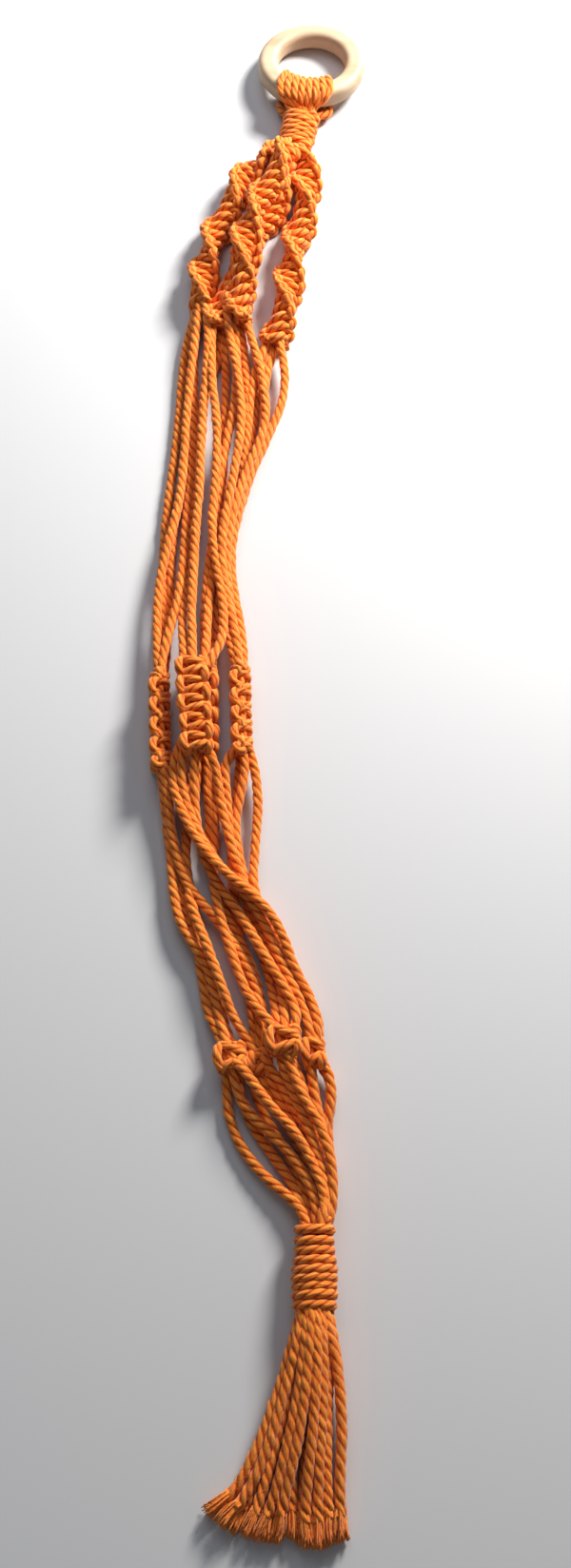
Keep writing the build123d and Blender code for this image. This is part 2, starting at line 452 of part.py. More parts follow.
# ---- strands between the knots, four from each knot ----------------------------------------------
for stretch, routes_by_side in (
    ("upper", UPPER_CORDS),
    ("middle", MIDDLE_CORDS),
    ("lower", LOWER_CORDS),
):
    for side, routes in routes_by_side.items():
        name = f"{side}_{stretch}_cords"
        save(name, cords(name, routes))


# ---- tassel: the strands bend in a short packed neck, and hang free below it ----------------------
with BuildPart() as tassel_neck:
    neck_top, _ = along(LOW_WRAP_BOTTOM, (LOW_WRAP_BOTTOM[0], TASSEL_START_Y, LOW_WRAP_BOTTOM[2]))
    neck_width = LOW_WRAP_WIDTH / 2 - WRAP_WALL
    neck_height = LOW_WRAP_HEIGHT / 2 - WRAP_WALL
    neck_length = LOW_WRAP_BOTTOM[1] - TASSEL_START_Y - CLEARANCE
    with BuildSketch(neck_top.offset(CLEARANCE)):
        Ellipse(neck_width, neck_height)
    with BuildSketch(neck_top.offset(neck_length)):
        Ellipse(neck_width * TASSEL_NECK_GROWTH, neck_height * TASSEL_NECK_GROWTH)
    loft()
tassel_neck.part.label = "tassel_neck"
export_step(tassel_neck.part, "parts/tassel_neck.step")

for number, route in enumerate(TASSEL, 1):
    name = f"tassel_strand_{number:02d}"
    save(name, cords(name, [route]))
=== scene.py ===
"""Hanging macrame planter, lying collapsed on a table. Metres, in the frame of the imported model."""

import math

import bpy
import numpy as np
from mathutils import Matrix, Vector


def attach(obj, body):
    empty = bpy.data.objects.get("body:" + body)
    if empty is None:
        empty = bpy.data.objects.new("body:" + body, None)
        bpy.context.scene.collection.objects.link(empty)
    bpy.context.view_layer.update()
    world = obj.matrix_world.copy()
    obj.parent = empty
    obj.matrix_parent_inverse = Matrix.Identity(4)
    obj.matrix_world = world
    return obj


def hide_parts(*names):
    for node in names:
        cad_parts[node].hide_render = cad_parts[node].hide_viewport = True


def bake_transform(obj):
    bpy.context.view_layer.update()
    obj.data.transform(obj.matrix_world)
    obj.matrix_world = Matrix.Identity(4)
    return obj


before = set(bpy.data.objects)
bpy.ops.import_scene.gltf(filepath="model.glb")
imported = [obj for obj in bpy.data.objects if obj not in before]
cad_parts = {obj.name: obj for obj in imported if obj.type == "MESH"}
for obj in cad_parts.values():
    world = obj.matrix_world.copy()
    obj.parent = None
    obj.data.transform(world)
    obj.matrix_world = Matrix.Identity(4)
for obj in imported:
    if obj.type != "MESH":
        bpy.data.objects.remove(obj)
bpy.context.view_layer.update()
bpy.ops.object.select_all(action="DESELECT")

# ---- sizes ----------------------------------------------------------------------------------------
CORD = 0.0041            # three-ply cotton cord, its declared diameter
STRAND = 0.0043          # the same cord lying free, with its soft nap
SPIRAL_CORD = 0.0043     # and as it lies in the half knots of a spiral,
SENNIT_CORD = 0.0038     # in a sennit's square knots,
KNOT_CORD = 0.0040       # in a single square knot,
CORE_CORD = 0.0036       # inside a knot,
FOLD_CORD = 0.0039       # over the ring,
WRAP_CORD = 0.0038       # and wound round the others
LAY = 0.0145             # length in which the three plies go once round
CREASE = 0.18            # how deep the hollow between two plies is, in radii
RING_STEP = 0.0010       # between two rings of a cord's mesh
FINE_STEP = 0.0005       # between two points of a line that other cords are placed by
PLY_POINTS = 6
RING_POINTS = 3 * PLY_POINTS
ASLANT = (0.13, 0.21, 0.97)   # a direction that no cord runs in: its sides are set out from it
OPENING = 0.0090         # length over which the plies part, before the brush of a cut end
BRUSH = 0.0080           # the last of a cut end, where the yarns have come apart
BRUSH_ROOT = 0.0030      # how far inside the plies the loose yarns begin
BRUSH_YARNS = 72
YARN_R = 0.00044         # radius of one loose yarn at its root
YARN_FLOOR = 0.0005      # no loose yarn's middle is lower than this
FIBRE_SLANT = -4.6       # the fibres of a ply lie nearer to the cord's own line than the ply does
FUZZ_PITCH = 0.0016      # one loose fibre in this length of cord
FUZZ_REACH = 4           # rings that a loose fibre spans
FUZZ_R = 0.00005         # radius of a loose fibre
PRESSED = 0.0006         # a cord is flattened by the table below this height
PLY_CROWN = 0.17         # the lay map's height at the crown of a ply, for loose yarns and fibres
TUCK = 0.006             # how far a strand goes on into the knot it meets
ROW = 0.0052             # one half knot of a spiral
HALF_WAVE = 0.031        # length in which a spiral's edge goes from one side to the other
SPIRAL_HALF = (0.0068, 0.0032)    # from a spiral's middle to its cords' middles: edge, face
SENNIT_HALF = (0.0062, 0.0034)    # the same of a sennit
SENNIT_ROWS = 10
KNOT_ROWS = 2
KNOT_INSET = (0.0008, 0.0020)     # the cords' middles lie this far inside a single knot's sides
LEAD_Y = 0.2870          # where the spirals' cords start, inside the top wrap
WRAP_MARGIN = 0.0017     # between a wrap's end and the middle of its first turn
WRAP_STEPS = 12          # points of one turn of a wrap
TASSEL_RISE = 0.0056     # from a tassel cord's first point up to the wrap's foot

# ---- camera ---------------------------------------------------------------------------------------
camera_data = bpy.data.cameras.new("camera")
camera_data.sensor_width = 36
camera_data.lens = 39.32
camera_data.clip_start = 0.01
camera = bpy.data.objects.new("camera", camera_data)
camera.location = (0.010, -0.334, 0.697)
camera.rotation_euler = (math.radians(21.5), 0, 0)
bpy.context.scene.collection.objects.link(camera)
bpy.context.scene.camera = camera

# ---- routes, from knot to knot --------------------------------------------------------------------
# The middle line of each spiral of half knots.
SPIRALS = {
    "left":
        [(0.005, 0.28, 0.0072), (-0.008, 0.269, 0.007), (-0.015, 0.257, 0.007),
         (-0.019, 0.245, 0.007), (-0.024, 0.232, 0.007), (-0.028, 0.218, 0.007),
         (-0.031, 0.203, 0.007), (-0.0325, 0.187, 0.007)],
    "front":
        [(0.011, 0.279, 0.014), (0.0065, 0.267, 0.0155), (0.0025, 0.254, 0.016),
         (-0.003, 0.242, 0.0155), (-0.008, 0.229, 0.015), (-0.0115, 0.215, 0.0145),
         (-0.0123, 0.2, 0.013), (-0.0115, 0.186, 0.011), (-0.0105, 0.176, 0.0095)],
    "rear":
        [(0.012, 0.277, 0.007), (0.0095, 0.265, 0.007), (0.006, 0.252, 0.007),
         (0.0015, 0.239, 0.007), (-0.0045, 0.226, 0.007), (-0.011, 0.213, 0.007),
         (-0.017, 0.2, 0.007), (-0.021, 0.187, 0.007), (-0.022, 0.175, 0.007)],
    "right":
        [(0.0186, 0.279, 0.0072), (0.0204, 0.268, 0.007), (0.0199, 0.255, 0.007),
         (0.0183, 0.241, 0.007), (0.016, 0.227, 0.007), (0.013, 0.213, 0.007),
         (0.0112, 0.199, 0.007), (0.0087, 0.185, 0.007), (0.006, 0.173, 0.007),
         (0.005, 0.164, 0.007)],
}
# Top, bottom and roll in degrees.
SENNITS = {
    "left": ((-0.0458, -0.009, 0.0081), (-0.0436, -0.056, 0.0081), 88),
    "front": ((-0.0315, -0.0065, 0.0162), (-0.0276, -0.051, 0.0162), 0),
    "rear": ((-0.0274, -0.005, 0.0054), (-0.026, -0.047, 0.0054), 0),
    "right": ((-0.01, -0.006, 0.0081), (-0.0084, -0.049, 0.0081), 88),
}
# Top, bottom, roll in degrees, width and thickness.
KNOTS = {
    "left": ((-0.0128, -0.1755, 0.0059), (-0.0116, -0.1875, 0.0059), 0, 0.0132, 0.0114),
    "rear": ((-0.0006, -0.178, 0.0043), (-0.0002, -0.189, 0.0043), 0, 0.01, 0.0082),
    "front": ((0.0093, -0.17, 0.0131), (0.0097, -0.182, 0.0131), 0, 0.014, 0.009),
    "right": ((0.0213, -0.173, 0.0063), (0.0216, -0.186, 0.0063), 0, 0.009, 0.012),
}
# The free strands, four from each knot, named for the knot that they leave.
UPPER_CORDS = {
    "left": [
        [(-0.035, 0.181, 0.004), (-0.0385, 0.166, 0.003), (-0.04, 0.146, 0.0023),
         (-0.041, 0.122, 0.0022), (-0.043, 0.098, 0.0022), (-0.0455, 0.072, 0.0023),
         (-0.0465, 0.048, 0.0022), (-0.0455, 0.024, 0.003), (-0.045, 0.006, 0.005),
         (-0.0455, -0.0084, 0.0065)],
        [(-0.032, 0.183, 0.009), (-0.0335, 0.168, 0.008), (-0.0355, 0.148, 0.006),
         (-0.037, 0.124, 0.0055), (-0.0375, 0.102, 0.0056), (-0.039, 0.08, 0.006),
         (-0.0425, 0.061, 0.0075), (-0.0463, 0.043, 0.0074), (-0.048, 0.025, 0.0076),
         (-0.0475, 0.008, 0.009), (-0.0465, -0.0084, 0.0105)],
        [(-0.0285, 0.183, 0.011), (-0.027, 0.17, 0.0095), (-0.0278, 0.152, 0.0085),
         (-0.0288, 0.132, 0.008), (-0.0296, 0.108, 0.0081), (-0.0298, 0.084, 0.0085),
         (-0.0313, 0.062, 0.009), (-0.0316, 0.04, 0.0104), (-0.0322, 0.02, 0.0125),
         (-0.0315, 0.0065, 0.0144), (-0.031, -0.0052, 0.0156)],
        [(-0.0345, 0.18, 0.005), (-0.0338, 0.16, 0.004), (-0.0338, 0.138, 0.0031),
         (-0.0332, 0.114, 0.003), (-0.0345, 0.09, 0.0033), (-0.0363, 0.066, 0.0045),
         (-0.0366, 0.046, 0.0062), (-0.0382, 0.029, 0.0086), (-0.041, 0.014, 0.0096),
         (-0.0436, 0.002, 0.0104), (-0.045, -0.0084, 0.0116)],
    ],
    "rear": [
        [(-0.025, 0.18, 0.008), (-0.0256, 0.164, 0.009), (-0.0254, 0.146, 0.0095),
         (-0.023, 0.128, 0.0096), (-0.0218, 0.108, 0.0092), (-0.0225, 0.086, 0.009),
         (-0.024, 0.068, 0.0095), (-0.0225, 0.05, 0.0102), (-0.0193, 0.033, 0.0106),
         (-0.0173, 0.016, 0.0116), (-0.0182, 0.0035, 0.0136), (-0.0216, -0.0044, 0.0154)],
        [(-0.0205, 0.176, 0.004), (-0.019, 0.158, 0.003), (-0.0185, 0.138, 0.0024),
         (-0.0193, 0.117, 0.0023), (-0.019, 0.096, 0.0024), (-0.0202, 0.075, 0.003),
         (-0.022, 0.055, 0.0042), (-0.024, 0.036, 0.0062), (-0.0252, 0.018, 0.0092),
         (-0.025, 0.005, 0.012), (-0.0256, -0.0047, 0.014)],
        [(-0.0245, 0.172, 0.003), (-0.0265, 0.152, 0.0024), (-0.0295, 0.13, 0.0023),
         (-0.0315, 0.108, 0.0023), (-0.032, 0.086, 0.0025), (-0.033, 0.066, 0.003),
         (-0.035, 0.048, 0.0036), (-0.036, 0.032, 0.006), (-0.0365, 0.017, 0.0095),
         (-0.0356, 0.005, 0.0124), (-0.035, -0.0055, 0.0146)],
        [(-0.021, 0.168, 0.003), (-0.025, 0.15, 0.0023), (-0.031, 0.13, 0.0022),
         (-0.0355, 0.11, 0.0022), (-0.039, 0.09, 0.0023), (-0.0415, 0.07, 0.0022),
         (-0.0427, 0.05, 0.0023), (-0.0426, 0.03, 0.0024), (-0.0428, 0.012, 0.0036),
         (-0.044, -0.0084, 0.005)],
    ],
    "front": [
        [(-0.0185, 0.184, 0.012), (-0.017, 0.169, 0.011), (-0.0138, 0.153, 0.01),
         (-0.0112, 0.136, 0.0095), (-0.0106, 0.118, 0.0094), (-0.0128, 0.1, 0.0096),
         (-0.0155, 0.082, 0.01), (-0.0186, 0.064, 0.0103), (-0.0192, 0.046, 0.0102),
         (-0.0166, 0.028, 0.0096), (-0.0128, 0.012, 0.0093), (-0.0106, -0.0049, 0.0104)],
        [(-0.009, 0.176, 0.011), (-0.0055, 0.164, 0.0095), (-0.002, 0.15, 0.0085),
         (0.0003, 0.136, 0.008), (0.0008, 0.122, 0.0078), (-0.0026, 0.108, 0.008),
         (-0.0084, 0.094, 0.0081), (-0.0126, 0.079, 0.0082), (-0.0158, 0.064, 0.0081),
         (-0.0171, 0.048, 0.0076), (-0.0156, 0.03, 0.0068), (-0.013, 0.014, 0.0062),
         (-0.0112, -0.0049, 0.0074)],
        [(-0.012, 0.176, 0.007), (-0.0095, 0.16, 0.0055), (-0.0083, 0.142, 0.005),
         (-0.0078, 0.124, 0.0049), (-0.0088, 0.106, 0.0042), (-0.0115, 0.088, 0.0041),
         (-0.0155, 0.072, 0.005), (-0.0185, 0.056, 0.006), (-0.0196, 0.04, 0.0065),
         (-0.0185, 0.024, 0.007), (-0.016, 0.01, 0.008), (-0.0122, -0.0049, 0.0096)],
        [(-0.0145, 0.178, 0.009), (-0.0135, 0.163, 0.007), (-0.0132, 0.146, 0.0058),
         (-0.0146, 0.128, 0.0062), (-0.018, 0.11, 0.0063), (-0.0203, 0.09, 0.0061),
         (-0.0218, 0.07, 0.0062), (-0.0245, 0.052, 0.006), (-0.026, 0.034, 0.0059),
         (-0.0265, 0.015, 0.0064), (-0.0262, -0.0039, 0.0066)],
    ],
    "right": [
        [(0.007, 0.166, 0.007), (0.0093, 0.155, 0.006), (0.0098, 0.144, 0.0055),
         (0.008, 0.131, 0.0054), (0.0035, 0.119, 0.0056), (-0.001, 0.107, 0.0055),
         (-0.0066, 0.093, 0.0054), (-0.0110, 0.078, 0.0055), (-0.0142, 0.062, 0.005),
         (-0.0152, 0.046, 0.0046), (-0.0129, 0.029, 0.0045), (-0.0098, 0.013, 0.005),
         (-0.0084, -0.0049, 0.0064)],
        [(0.002, 0.169, 0.007), (-0.0025, 0.158, 0.006), (-0.0058, 0.145, 0.0056),
         (-0.007, 0.129, 0.0055), (-0.008, 0.112, 0.003), (-0.0105, 0.095, 0.0024),
         (-0.0138, 0.078, 0.0023), (-0.0175, 0.062, 0.0024), (-0.0205, 0.046, 0.0023),
         (-0.023, 0.03, 0.0025), (-0.0242, 0.013, 0.0035), (-0.0246, -0.0039, 0.0046)],
        [(0.004, 0.168, 0.0045), (-0.0005, 0.156, 0.003), (-0.0038, 0.143, 0.0023),
         (-0.0048, 0.127, 0.0022), (-0.0065, 0.111, 0.0023), (-0.009, 0.095, 0.0022),
         (-0.012, 0.079, 0.0023), (-0.0155, 0.063, 0.0022), (-0.0185, 0.047, 0.0023),
         (-0.0207, 0.031, 0.0024), (-0.0218, 0.013, 0.003), (-0.0224, -0.0039, 0.004)],
        [(0.005, 0.166, 0.0035), (0.0015, 0.154, 0.0034), (-0.0005, 0.141, 0.0033),
         (-0.0002, 0.127, 0.0035), (-0.001, 0.113, 0.0034), (-0.0052, 0.098, 0.0033),
         (-0.0096, 0.083, 0.0034), (-0.0134, 0.067, 0.003), (-0.0172, 0.05, 0.0026),
         (-0.0205, 0.033, 0.003), (-0.0234, 0.015, 0.0042), (-0.0278, -0.0039, 0.005)],
    ],
}
MIDDLE_CORDS = {
    "front": [
        [(-0.0362, -0.0476, 0.012), (-0.0389, -0.0574, 0.011), (-0.0378, -0.067, 0.0113),
         (-0.0343, -0.077, 0.012), (-0.0293, -0.087, 0.0126), (-0.023, -0.096, 0.013),
         (-0.016, -0.104, 0.0134), (-0.0085, -0.11, 0.0135), (-0.002, -0.116, 0.013),
         (0.004, -0.1225, 0.012), (0.009, -0.131, 0.0106), (0.012, -0.141, 0.009),
         (0.0165, -0.15, 0.008), (0.0206, -0.158, 0.0075), (0.0231, -0.166, 0.0076),
         (0.023, -0.1718, 0.008)],
        [(-0.0336, -0.0495, 0.014), (-0.0352, -0.0595, 0.012), (-0.0335, -0.069, 0.011),
         (-0.0297, -0.08, 0.0105), (-0.025, -0.09, 0.0102), (-0.019, -0.099, 0.01),
         (-0.0125, -0.1065, 0.0099), (-0.006, -0.1135, 0.0095), (-0.0005, -0.122, 0.009),
         (0.004, -0.132, 0.0084), (0.008, -0.142, 0.008), (0.013, -0.152, 0.0078),
         (0.0175, -0.162, 0.0082), (0.0199, -0.1718, 0.009)],
        [(-0.0288, -0.0495, 0.0155), (-0.0296, -0.0595, 0.0125), (-0.029, -0.07, 0.0103),
         (-0.028, -0.082, 0.0085), (-0.0255, -0.094, 0.0075), (-0.0205, -0.105, 0.0071),
         (-0.0145, -0.114, 0.0075), (-0.0085, -0.122, 0.0086), (-0.0037, -0.131, 0.0095),
         (0.0015, -0.14, 0.01), (0.0065, -0.148, 0.0101), (0.011, -0.156, 0.0104),
         (0.0141, -0.163, 0.011), (0.0144, -0.1686, 0.0122)],
        [(-0.0238, -0.0495, 0.016), (-0.0202, -0.0555, 0.0145), (-0.0188, -0.0645, 0.012),
         (-0.0173, -0.075, 0.0104), (-0.0143, -0.087, 0.0095), (-0.0108, -0.099, 0.008),
         (-0.0065, -0.11, 0.006), (-0.002, -0.121, 0.0048), (0.0025, -0.132, 0.0046),
         (0.006, -0.143, 0.005), (0.0085, -0.154, 0.0065), (0.0095, -0.162, 0.0086),
         (0.0098, -0.1686, 0.011)],
    ],
    "rear": [
        [(-0.024, -0.045, 0.006), (-0.024, -0.06, 0.0045), (-0.0228, -0.075, 0.0036),
         (-0.023, -0.09, 0.0031), (-0.0215, -0.102, 0.0028), (-0.0175, -0.113, 0.003),
         (-0.013, -0.124, 0.0032), (-0.0075, -0.135, 0.0033), (-0.003, -0.146, 0.0035),
         (0.0, -0.157, 0.004), (0.0012, -0.168, 0.0046), (0.001, -0.1766, 0.005)],
        [(-0.027, -0.045, 0.0046), (-0.0285, -0.06, 0.003), (-0.0305, -0.074, 0.0031),
         (-0.0328, -0.088, 0.004), (-0.0323, -0.101, 0.0053), (-0.0306, -0.112, 0.0064),
         (-0.0283, -0.122, 0.0075), (-0.024, -0.1315, 0.0084), (-0.0208, -0.1405, 0.0092),
         (-0.0172, -0.15, 0.0095), (-0.014, -0.159, 0.0086), (-0.0104, -0.1675, 0.007),
         (-0.006, -0.1735, 0.006), (-0.0036, -0.1766, 0.0056)],
        [(-0.022, -0.045, 0.0046), (-0.021, -0.06, 0.0031), (-0.0205, -0.074, 0.0035),
         (-0.0203, -0.088, 0.0044), (-0.0212, -0.1, 0.005), (-0.02, -0.111, 0.0062),
         (-0.0176, -0.121, 0.0074), (-0.0148, -0.131, 0.0084), (-0.0116, -0.141, 0.009),
         (-0.0083, -0.1505, 0.0093), (-0.0043, -0.1585, 0.0097), (0.0004, -0.165, 0.0104),
         (0.0044, -0.1686, 0.0114)],
        [(-0.0296, -0.045, 0.0038), (-0.0315, -0.061, 0.0024), (-0.033, -0.077, 0.0023),
         (-0.0332, -0.092, 0.0022), (-0.031, -0.107, 0.0023), (-0.0275, -0.121, 0.0024),
         (-0.0235, -0.134, 0.0026), (-0.0202, -0.147, 0.0025), (-0.0168, -0.16, 0.003),
         (-0.014, -0.1742, 0.0046)],
    ],
    "right": [
        [(-0.0096, -0.0456, 0.009), (-0.0142, -0.0496, 0.01), (-0.0166, -0.0564, 0.009),
         (-0.0154, -0.068, 0.0075), (-0.0143, -0.081, 0.0064), (-0.0125, -0.093, 0.0054),
         (-0.0098, -0.104, 0.0044), (-0.0065, -0.115, 0.0028), (-0.003, -0.126, 0.0023),
         (0.0002, -0.137, 0.0024), (0.0034, -0.148, 0.0032), (0.0056, -0.159, 0.0054),
         (0.0068, -0.1686, 0.0096)],
        [(-0.0082, -0.047, 0.009), (-0.0076, -0.059, 0.007), (-0.0101, -0.069, 0.006),
         (-0.0116, -0.079, 0.0051), (-0.0108, -0.09, 0.0055), (-0.0086, -0.101, 0.0054),
         (-0.005, -0.111, 0.0036), (-0.001, -0.121, 0.0024), (0.0045, -0.131, 0.0023),
         (0.009, -0.141, 0.0025), (0.014, -0.151, 0.003), (0.0182, -0.1615, 0.0042),
         (0.0206, -0.1718, 0.0056)],
        [(-0.0056, -0.047, 0.007), (-0.0024, -0.059, 0.005), (-0.0019, -0.072, 0.0045),
         (-0.0026, -0.085, 0.0044), (-0.0034, -0.097, 0.005), (-0.0038, -0.108, 0.006),
         (-0.001, -0.118, 0.0061), (0.0045, -0.127, 0.0055), (0.009, -0.137, 0.005),
         (0.014, -0.147, 0.0046), (0.02, -0.157, 0.0045), (0.0234, -0.165, 0.0048),
         (0.024, -0.1718, 0.0056)],
        [(-0.0096, -0.047, 0.0044), (-0.0105, -0.061, 0.0026), (-0.0125, -0.076, 0.0023),
         (-0.0133, -0.09, 0.0024), (-0.0126, -0.104, 0.0023), (-0.011, -0.118, 0.0024),
         (-0.009, -0.132, 0.0023), (-0.0065, -0.146, 0.0024), (-0.004, -0.16, 0.003),
         (-0.0024, -0.1766, 0.004)],
    ],
    "left": [
        [(-0.044, -0.054, 0.005), (-0.042, -0.068, 0.003), (-0.0403, -0.082, 0.0023),
         (-0.0375, -0.096, 0.0024), (-0.034, -0.11, 0.0023), (-0.0295, -0.124, 0.0022),
         (-0.0265, -0.137, 0.0023), (-0.0243, -0.15, 0.0024), (-0.0227, -0.16, 0.003),
         (-0.0194, -0.1684, 0.0044), (-0.0164, -0.1742, 0.0058)],
        [(-0.0426, -0.054, 0.008), (-0.0408, -0.067, 0.0065), (-0.0396, -0.08, 0.0055),
         (-0.0392, -0.093, 0.0051), (-0.038, -0.105, 0.005), (-0.0366, -0.117, 0.0052),
         (-0.033, -0.127, 0.0055), (-0.0275, -0.1355, 0.0058), (-0.0225, -0.1435, 0.0052),
         (-0.0196, -0.153, 0.0046), (-0.0174, -0.164, 0.0054), (-0.0146, -0.1742, 0.0076)],
        [(-0.043, -0.054, 0.011), (-0.041, -0.069, 0.0085), (-0.039, -0.082, 0.0074),
         (-0.0365, -0.095, 0.007), (-0.0325, -0.106, 0.0064), (-0.0275, -0.1135, 0.0065),
         (-0.0215, -0.12, 0.0061), (-0.016, -0.127, 0.0058), (-0.011, -0.1345, 0.006),
         (-0.0065, -0.1425, 0.0061), (-0.0028, -0.151, 0.006), (-0.0006, -0.16, 0.0058),
         (-0.0004, -0.169, 0.0052), (-0.001, -0.1766, 0.0048)],
        [(-0.0445, -0.054, 0.008), (-0.042, -0.07, 0.006), (-0.0408, -0.084, 0.0032),
         (-0.0385, -0.098, 0.0026), (-0.035, -0.112, 0.0023), (-0.03, -0.125, 0.0024),
         (-0.0255, -0.138, 0.0022), (-0.0223, -0.15, 0.0023), (-0.0184, -0.162, 0.0028),
         (-0.0122, -0.1742, 0.0046)],
    ],
}
LOWER_CORDS = {
    "left": [
        [(-0.0138, -0.185, 0.0044), (-0.014, -0.195, 0.003), (-0.0131, -0.204, 0.0025),
         (-0.0105, -0.2125, 0.0023), (-0.006, -0.22, 0.0024), (-0.0005, -0.227, 0.0028),
         (0.0055, -0.2325, 0.0035), (0.011, -0.237, 0.0044), (0.0158, -0.242, 0.006),
         (0.018, -0.2462, 0.007)],
        [(-0.012, -0.1834, 0.0084), (-0.0072, -0.187, 0.01), (-0.0038, -0.192, 0.0104),
         (0.0005, -0.198, 0.0105), (0.0055, -0.204, 0.0104), (0.0115, -0.21, 0.0102),
         (0.0165, -0.2165, 0.01), (0.0205, -0.224, 0.0097), (0.024, -0.232, 0.01),
         (0.0258, -0.24, 0.0105), (0.0254, -0.2462, 0.011)],
        [(-0.012, -0.185, 0.006), (-0.01, -0.195, 0.0062), (-0.006, -0.203, 0.006),
         (-0.0005, -0.2085, 0.0062), (0.0055, -0.214, 0.0065), (0.011, -0.2195, 0.007),
         (0.0155, -0.226, 0.0071), (0.0195, -0.233, 0.0075), (0.022, -0.24, 0.008),
         (0.0224, -0.2462, 0.0082)],
        [(-0.0106, -0.185, 0.0038), (-0.0086, -0.196, 0.0024), (-0.005, -0.206, 0.0023),
         (0.0, -0.214, 0.0022), (0.0055, -0.2215, 0.0024), (0.011, -0.229, 0.003),
         (0.0155, -0.2375, 0.0042), (0.0174, -0.2462, 0.006)],
    ],
    "rear": [
        [(0.0014, -0.184, 0.0064), (0.0052, -0.188, 0.0073), (0.009, -0.1945, 0.0076),
         (0.0125, -0.2015, 0.0075), (0.017, -0.2085, 0.0074), (0.021, -0.216, 0.0073),
         (0.0245, -0.224, 0.007), (0.027, -0.232, 0.0071), (0.028, -0.24, 0.0076),
         (0.0266, -0.2462, 0.0084)],
        [(-0.001, -0.187, 0.004), (0.0035, -0.196, 0.0035), (0.008, -0.204, 0.0032),
         (0.0125, -0.2115, 0.003), (0.0165, -0.219, 0.0031), (0.02, -0.227, 0.0032),
         (0.0224, -0.236, 0.0038), (0.0226, -0.2462, 0.0046)],
        [(-0.0032, -0.187, 0.0036), (-0.002, -0.197, 0.0024), (0.002, -0.2055, 0.0023),
         (0.007, -0.2135, 0.0022), (0.0115, -0.221, 0.0023), (0.0155, -0.229, 0.0026),
         (0.0184, -0.238, 0.0036), (0.0195, -0.2462, 0.005)],
        [(0.002, -0.187, 0.005), (0.0065, -0.197, 0.0056), (0.011, -0.205, 0.0055),
         (0.015, -0.213, 0.0053), (0.0185, -0.221, 0.0054), (0.0215, -0.2295, 0.0055),
         (0.0236, -0.238, 0.006), (0.024, -0.2462, 0.0064)],
    ],
    "front": [
        [(0.0105, -0.1804, 0.012), (0.0125, -0.188, 0.0121), (0.0155, -0.195, 0.012),
         (0.0188, -0.202, 0.0119), (0.023, -0.2085, 0.0118), (0.026, -0.216, 0.0113),
         (0.0281, -0.224, 0.0108), (0.0289, -0.232, 0.0102), (0.0287, -0.24, 0.0096),
         (0.0274, -0.2462, 0.0092)],
        [(0.0075, -0.1804, 0.0104), (0.0095, -0.188, 0.0098), (0.0125, -0.195, 0.0097),
         (0.0155, -0.2025, 0.0094), (0.0188, -0.21, 0.0092), (0.0218, -0.218, 0.009),
         (0.0242, -0.226, 0.0091), (0.0256, -0.234, 0.0095), (0.0256, -0.241, 0.0106),
         (0.0242, -0.2462, 0.012)],
        [(0.012, -0.1804, 0.0094), (0.0155, -0.19, 0.0066), (0.0188, -0.199, 0.0054),
         (0.0215, -0.208, 0.0045), (0.0235, -0.217, 0.0036), (0.0248, -0.2265, 0.0035),
         (0.025, -0.2365, 0.0041), (0.024, -0.2462, 0.005)],
        [(0.009, -0.1804, 0.0094), (0.0115, -0.191, 0.0056), (0.0143, -0.2005, 0.0042),
         (0.0178, -0.21, 0.0034), (0.02, -0.219, 0.0025), (0.022, -0.2285, 0.0023),
         (0.0222, -0.238, 0.0032), (0.021, -0.2462, 0.005)],
    ],
    "right": [
        [(0.0204, -0.184, 0.0074), (0.021, -0.192, 0.0062), (0.0223, -0.2, 0.0055),
         (0.0243, -0.208, 0.005), (0.026, -0.216, 0.0046), (0.0273, -0.224, 0.0045),
         (0.028, -0.232, 0.0048), (0.0274, -0.24, 0.0056), (0.0258, -0.2462, 0.0066)],
        [(0.0236, -0.182, 0.007), (0.0274, -0.1875, 0.006), (0.0287, -0.1955, 0.005),
         (0.0278, -0.204, 0.004), (0.0258, -0.2125, 0.0028), (0.0265, -0.221, 0.0024),
         (0.028, -0.2295, 0.0027), (0.0276, -0.2385, 0.004), (0.0254, -0.2462, 0.0056)],
        [(0.02, -0.185, 0.004), (0.0216, -0.196, 0.0028), (0.0224, -0.206, 0.0024),
         (0.024, -0.216, 0.0023), (0.025, -0.226, 0.0024), (0.0252, -0.2365, 0.003),
         (0.024, -0.2462, 0.0042)],
        [(0.024, -0.184, 0.0045), (0.0282, -0.1905, 0.0032), (0.0289, -0.1995, 0.0024),
         (0.0268, -0.2085, 0.0022), (0.0275, -0.218, 0.0023), (0.0289, -0.2275, 0.0025),
         (0.0282, -0.2375, 0.0032), (0.0256, -0.2462, 0.0048)],
    ],
}
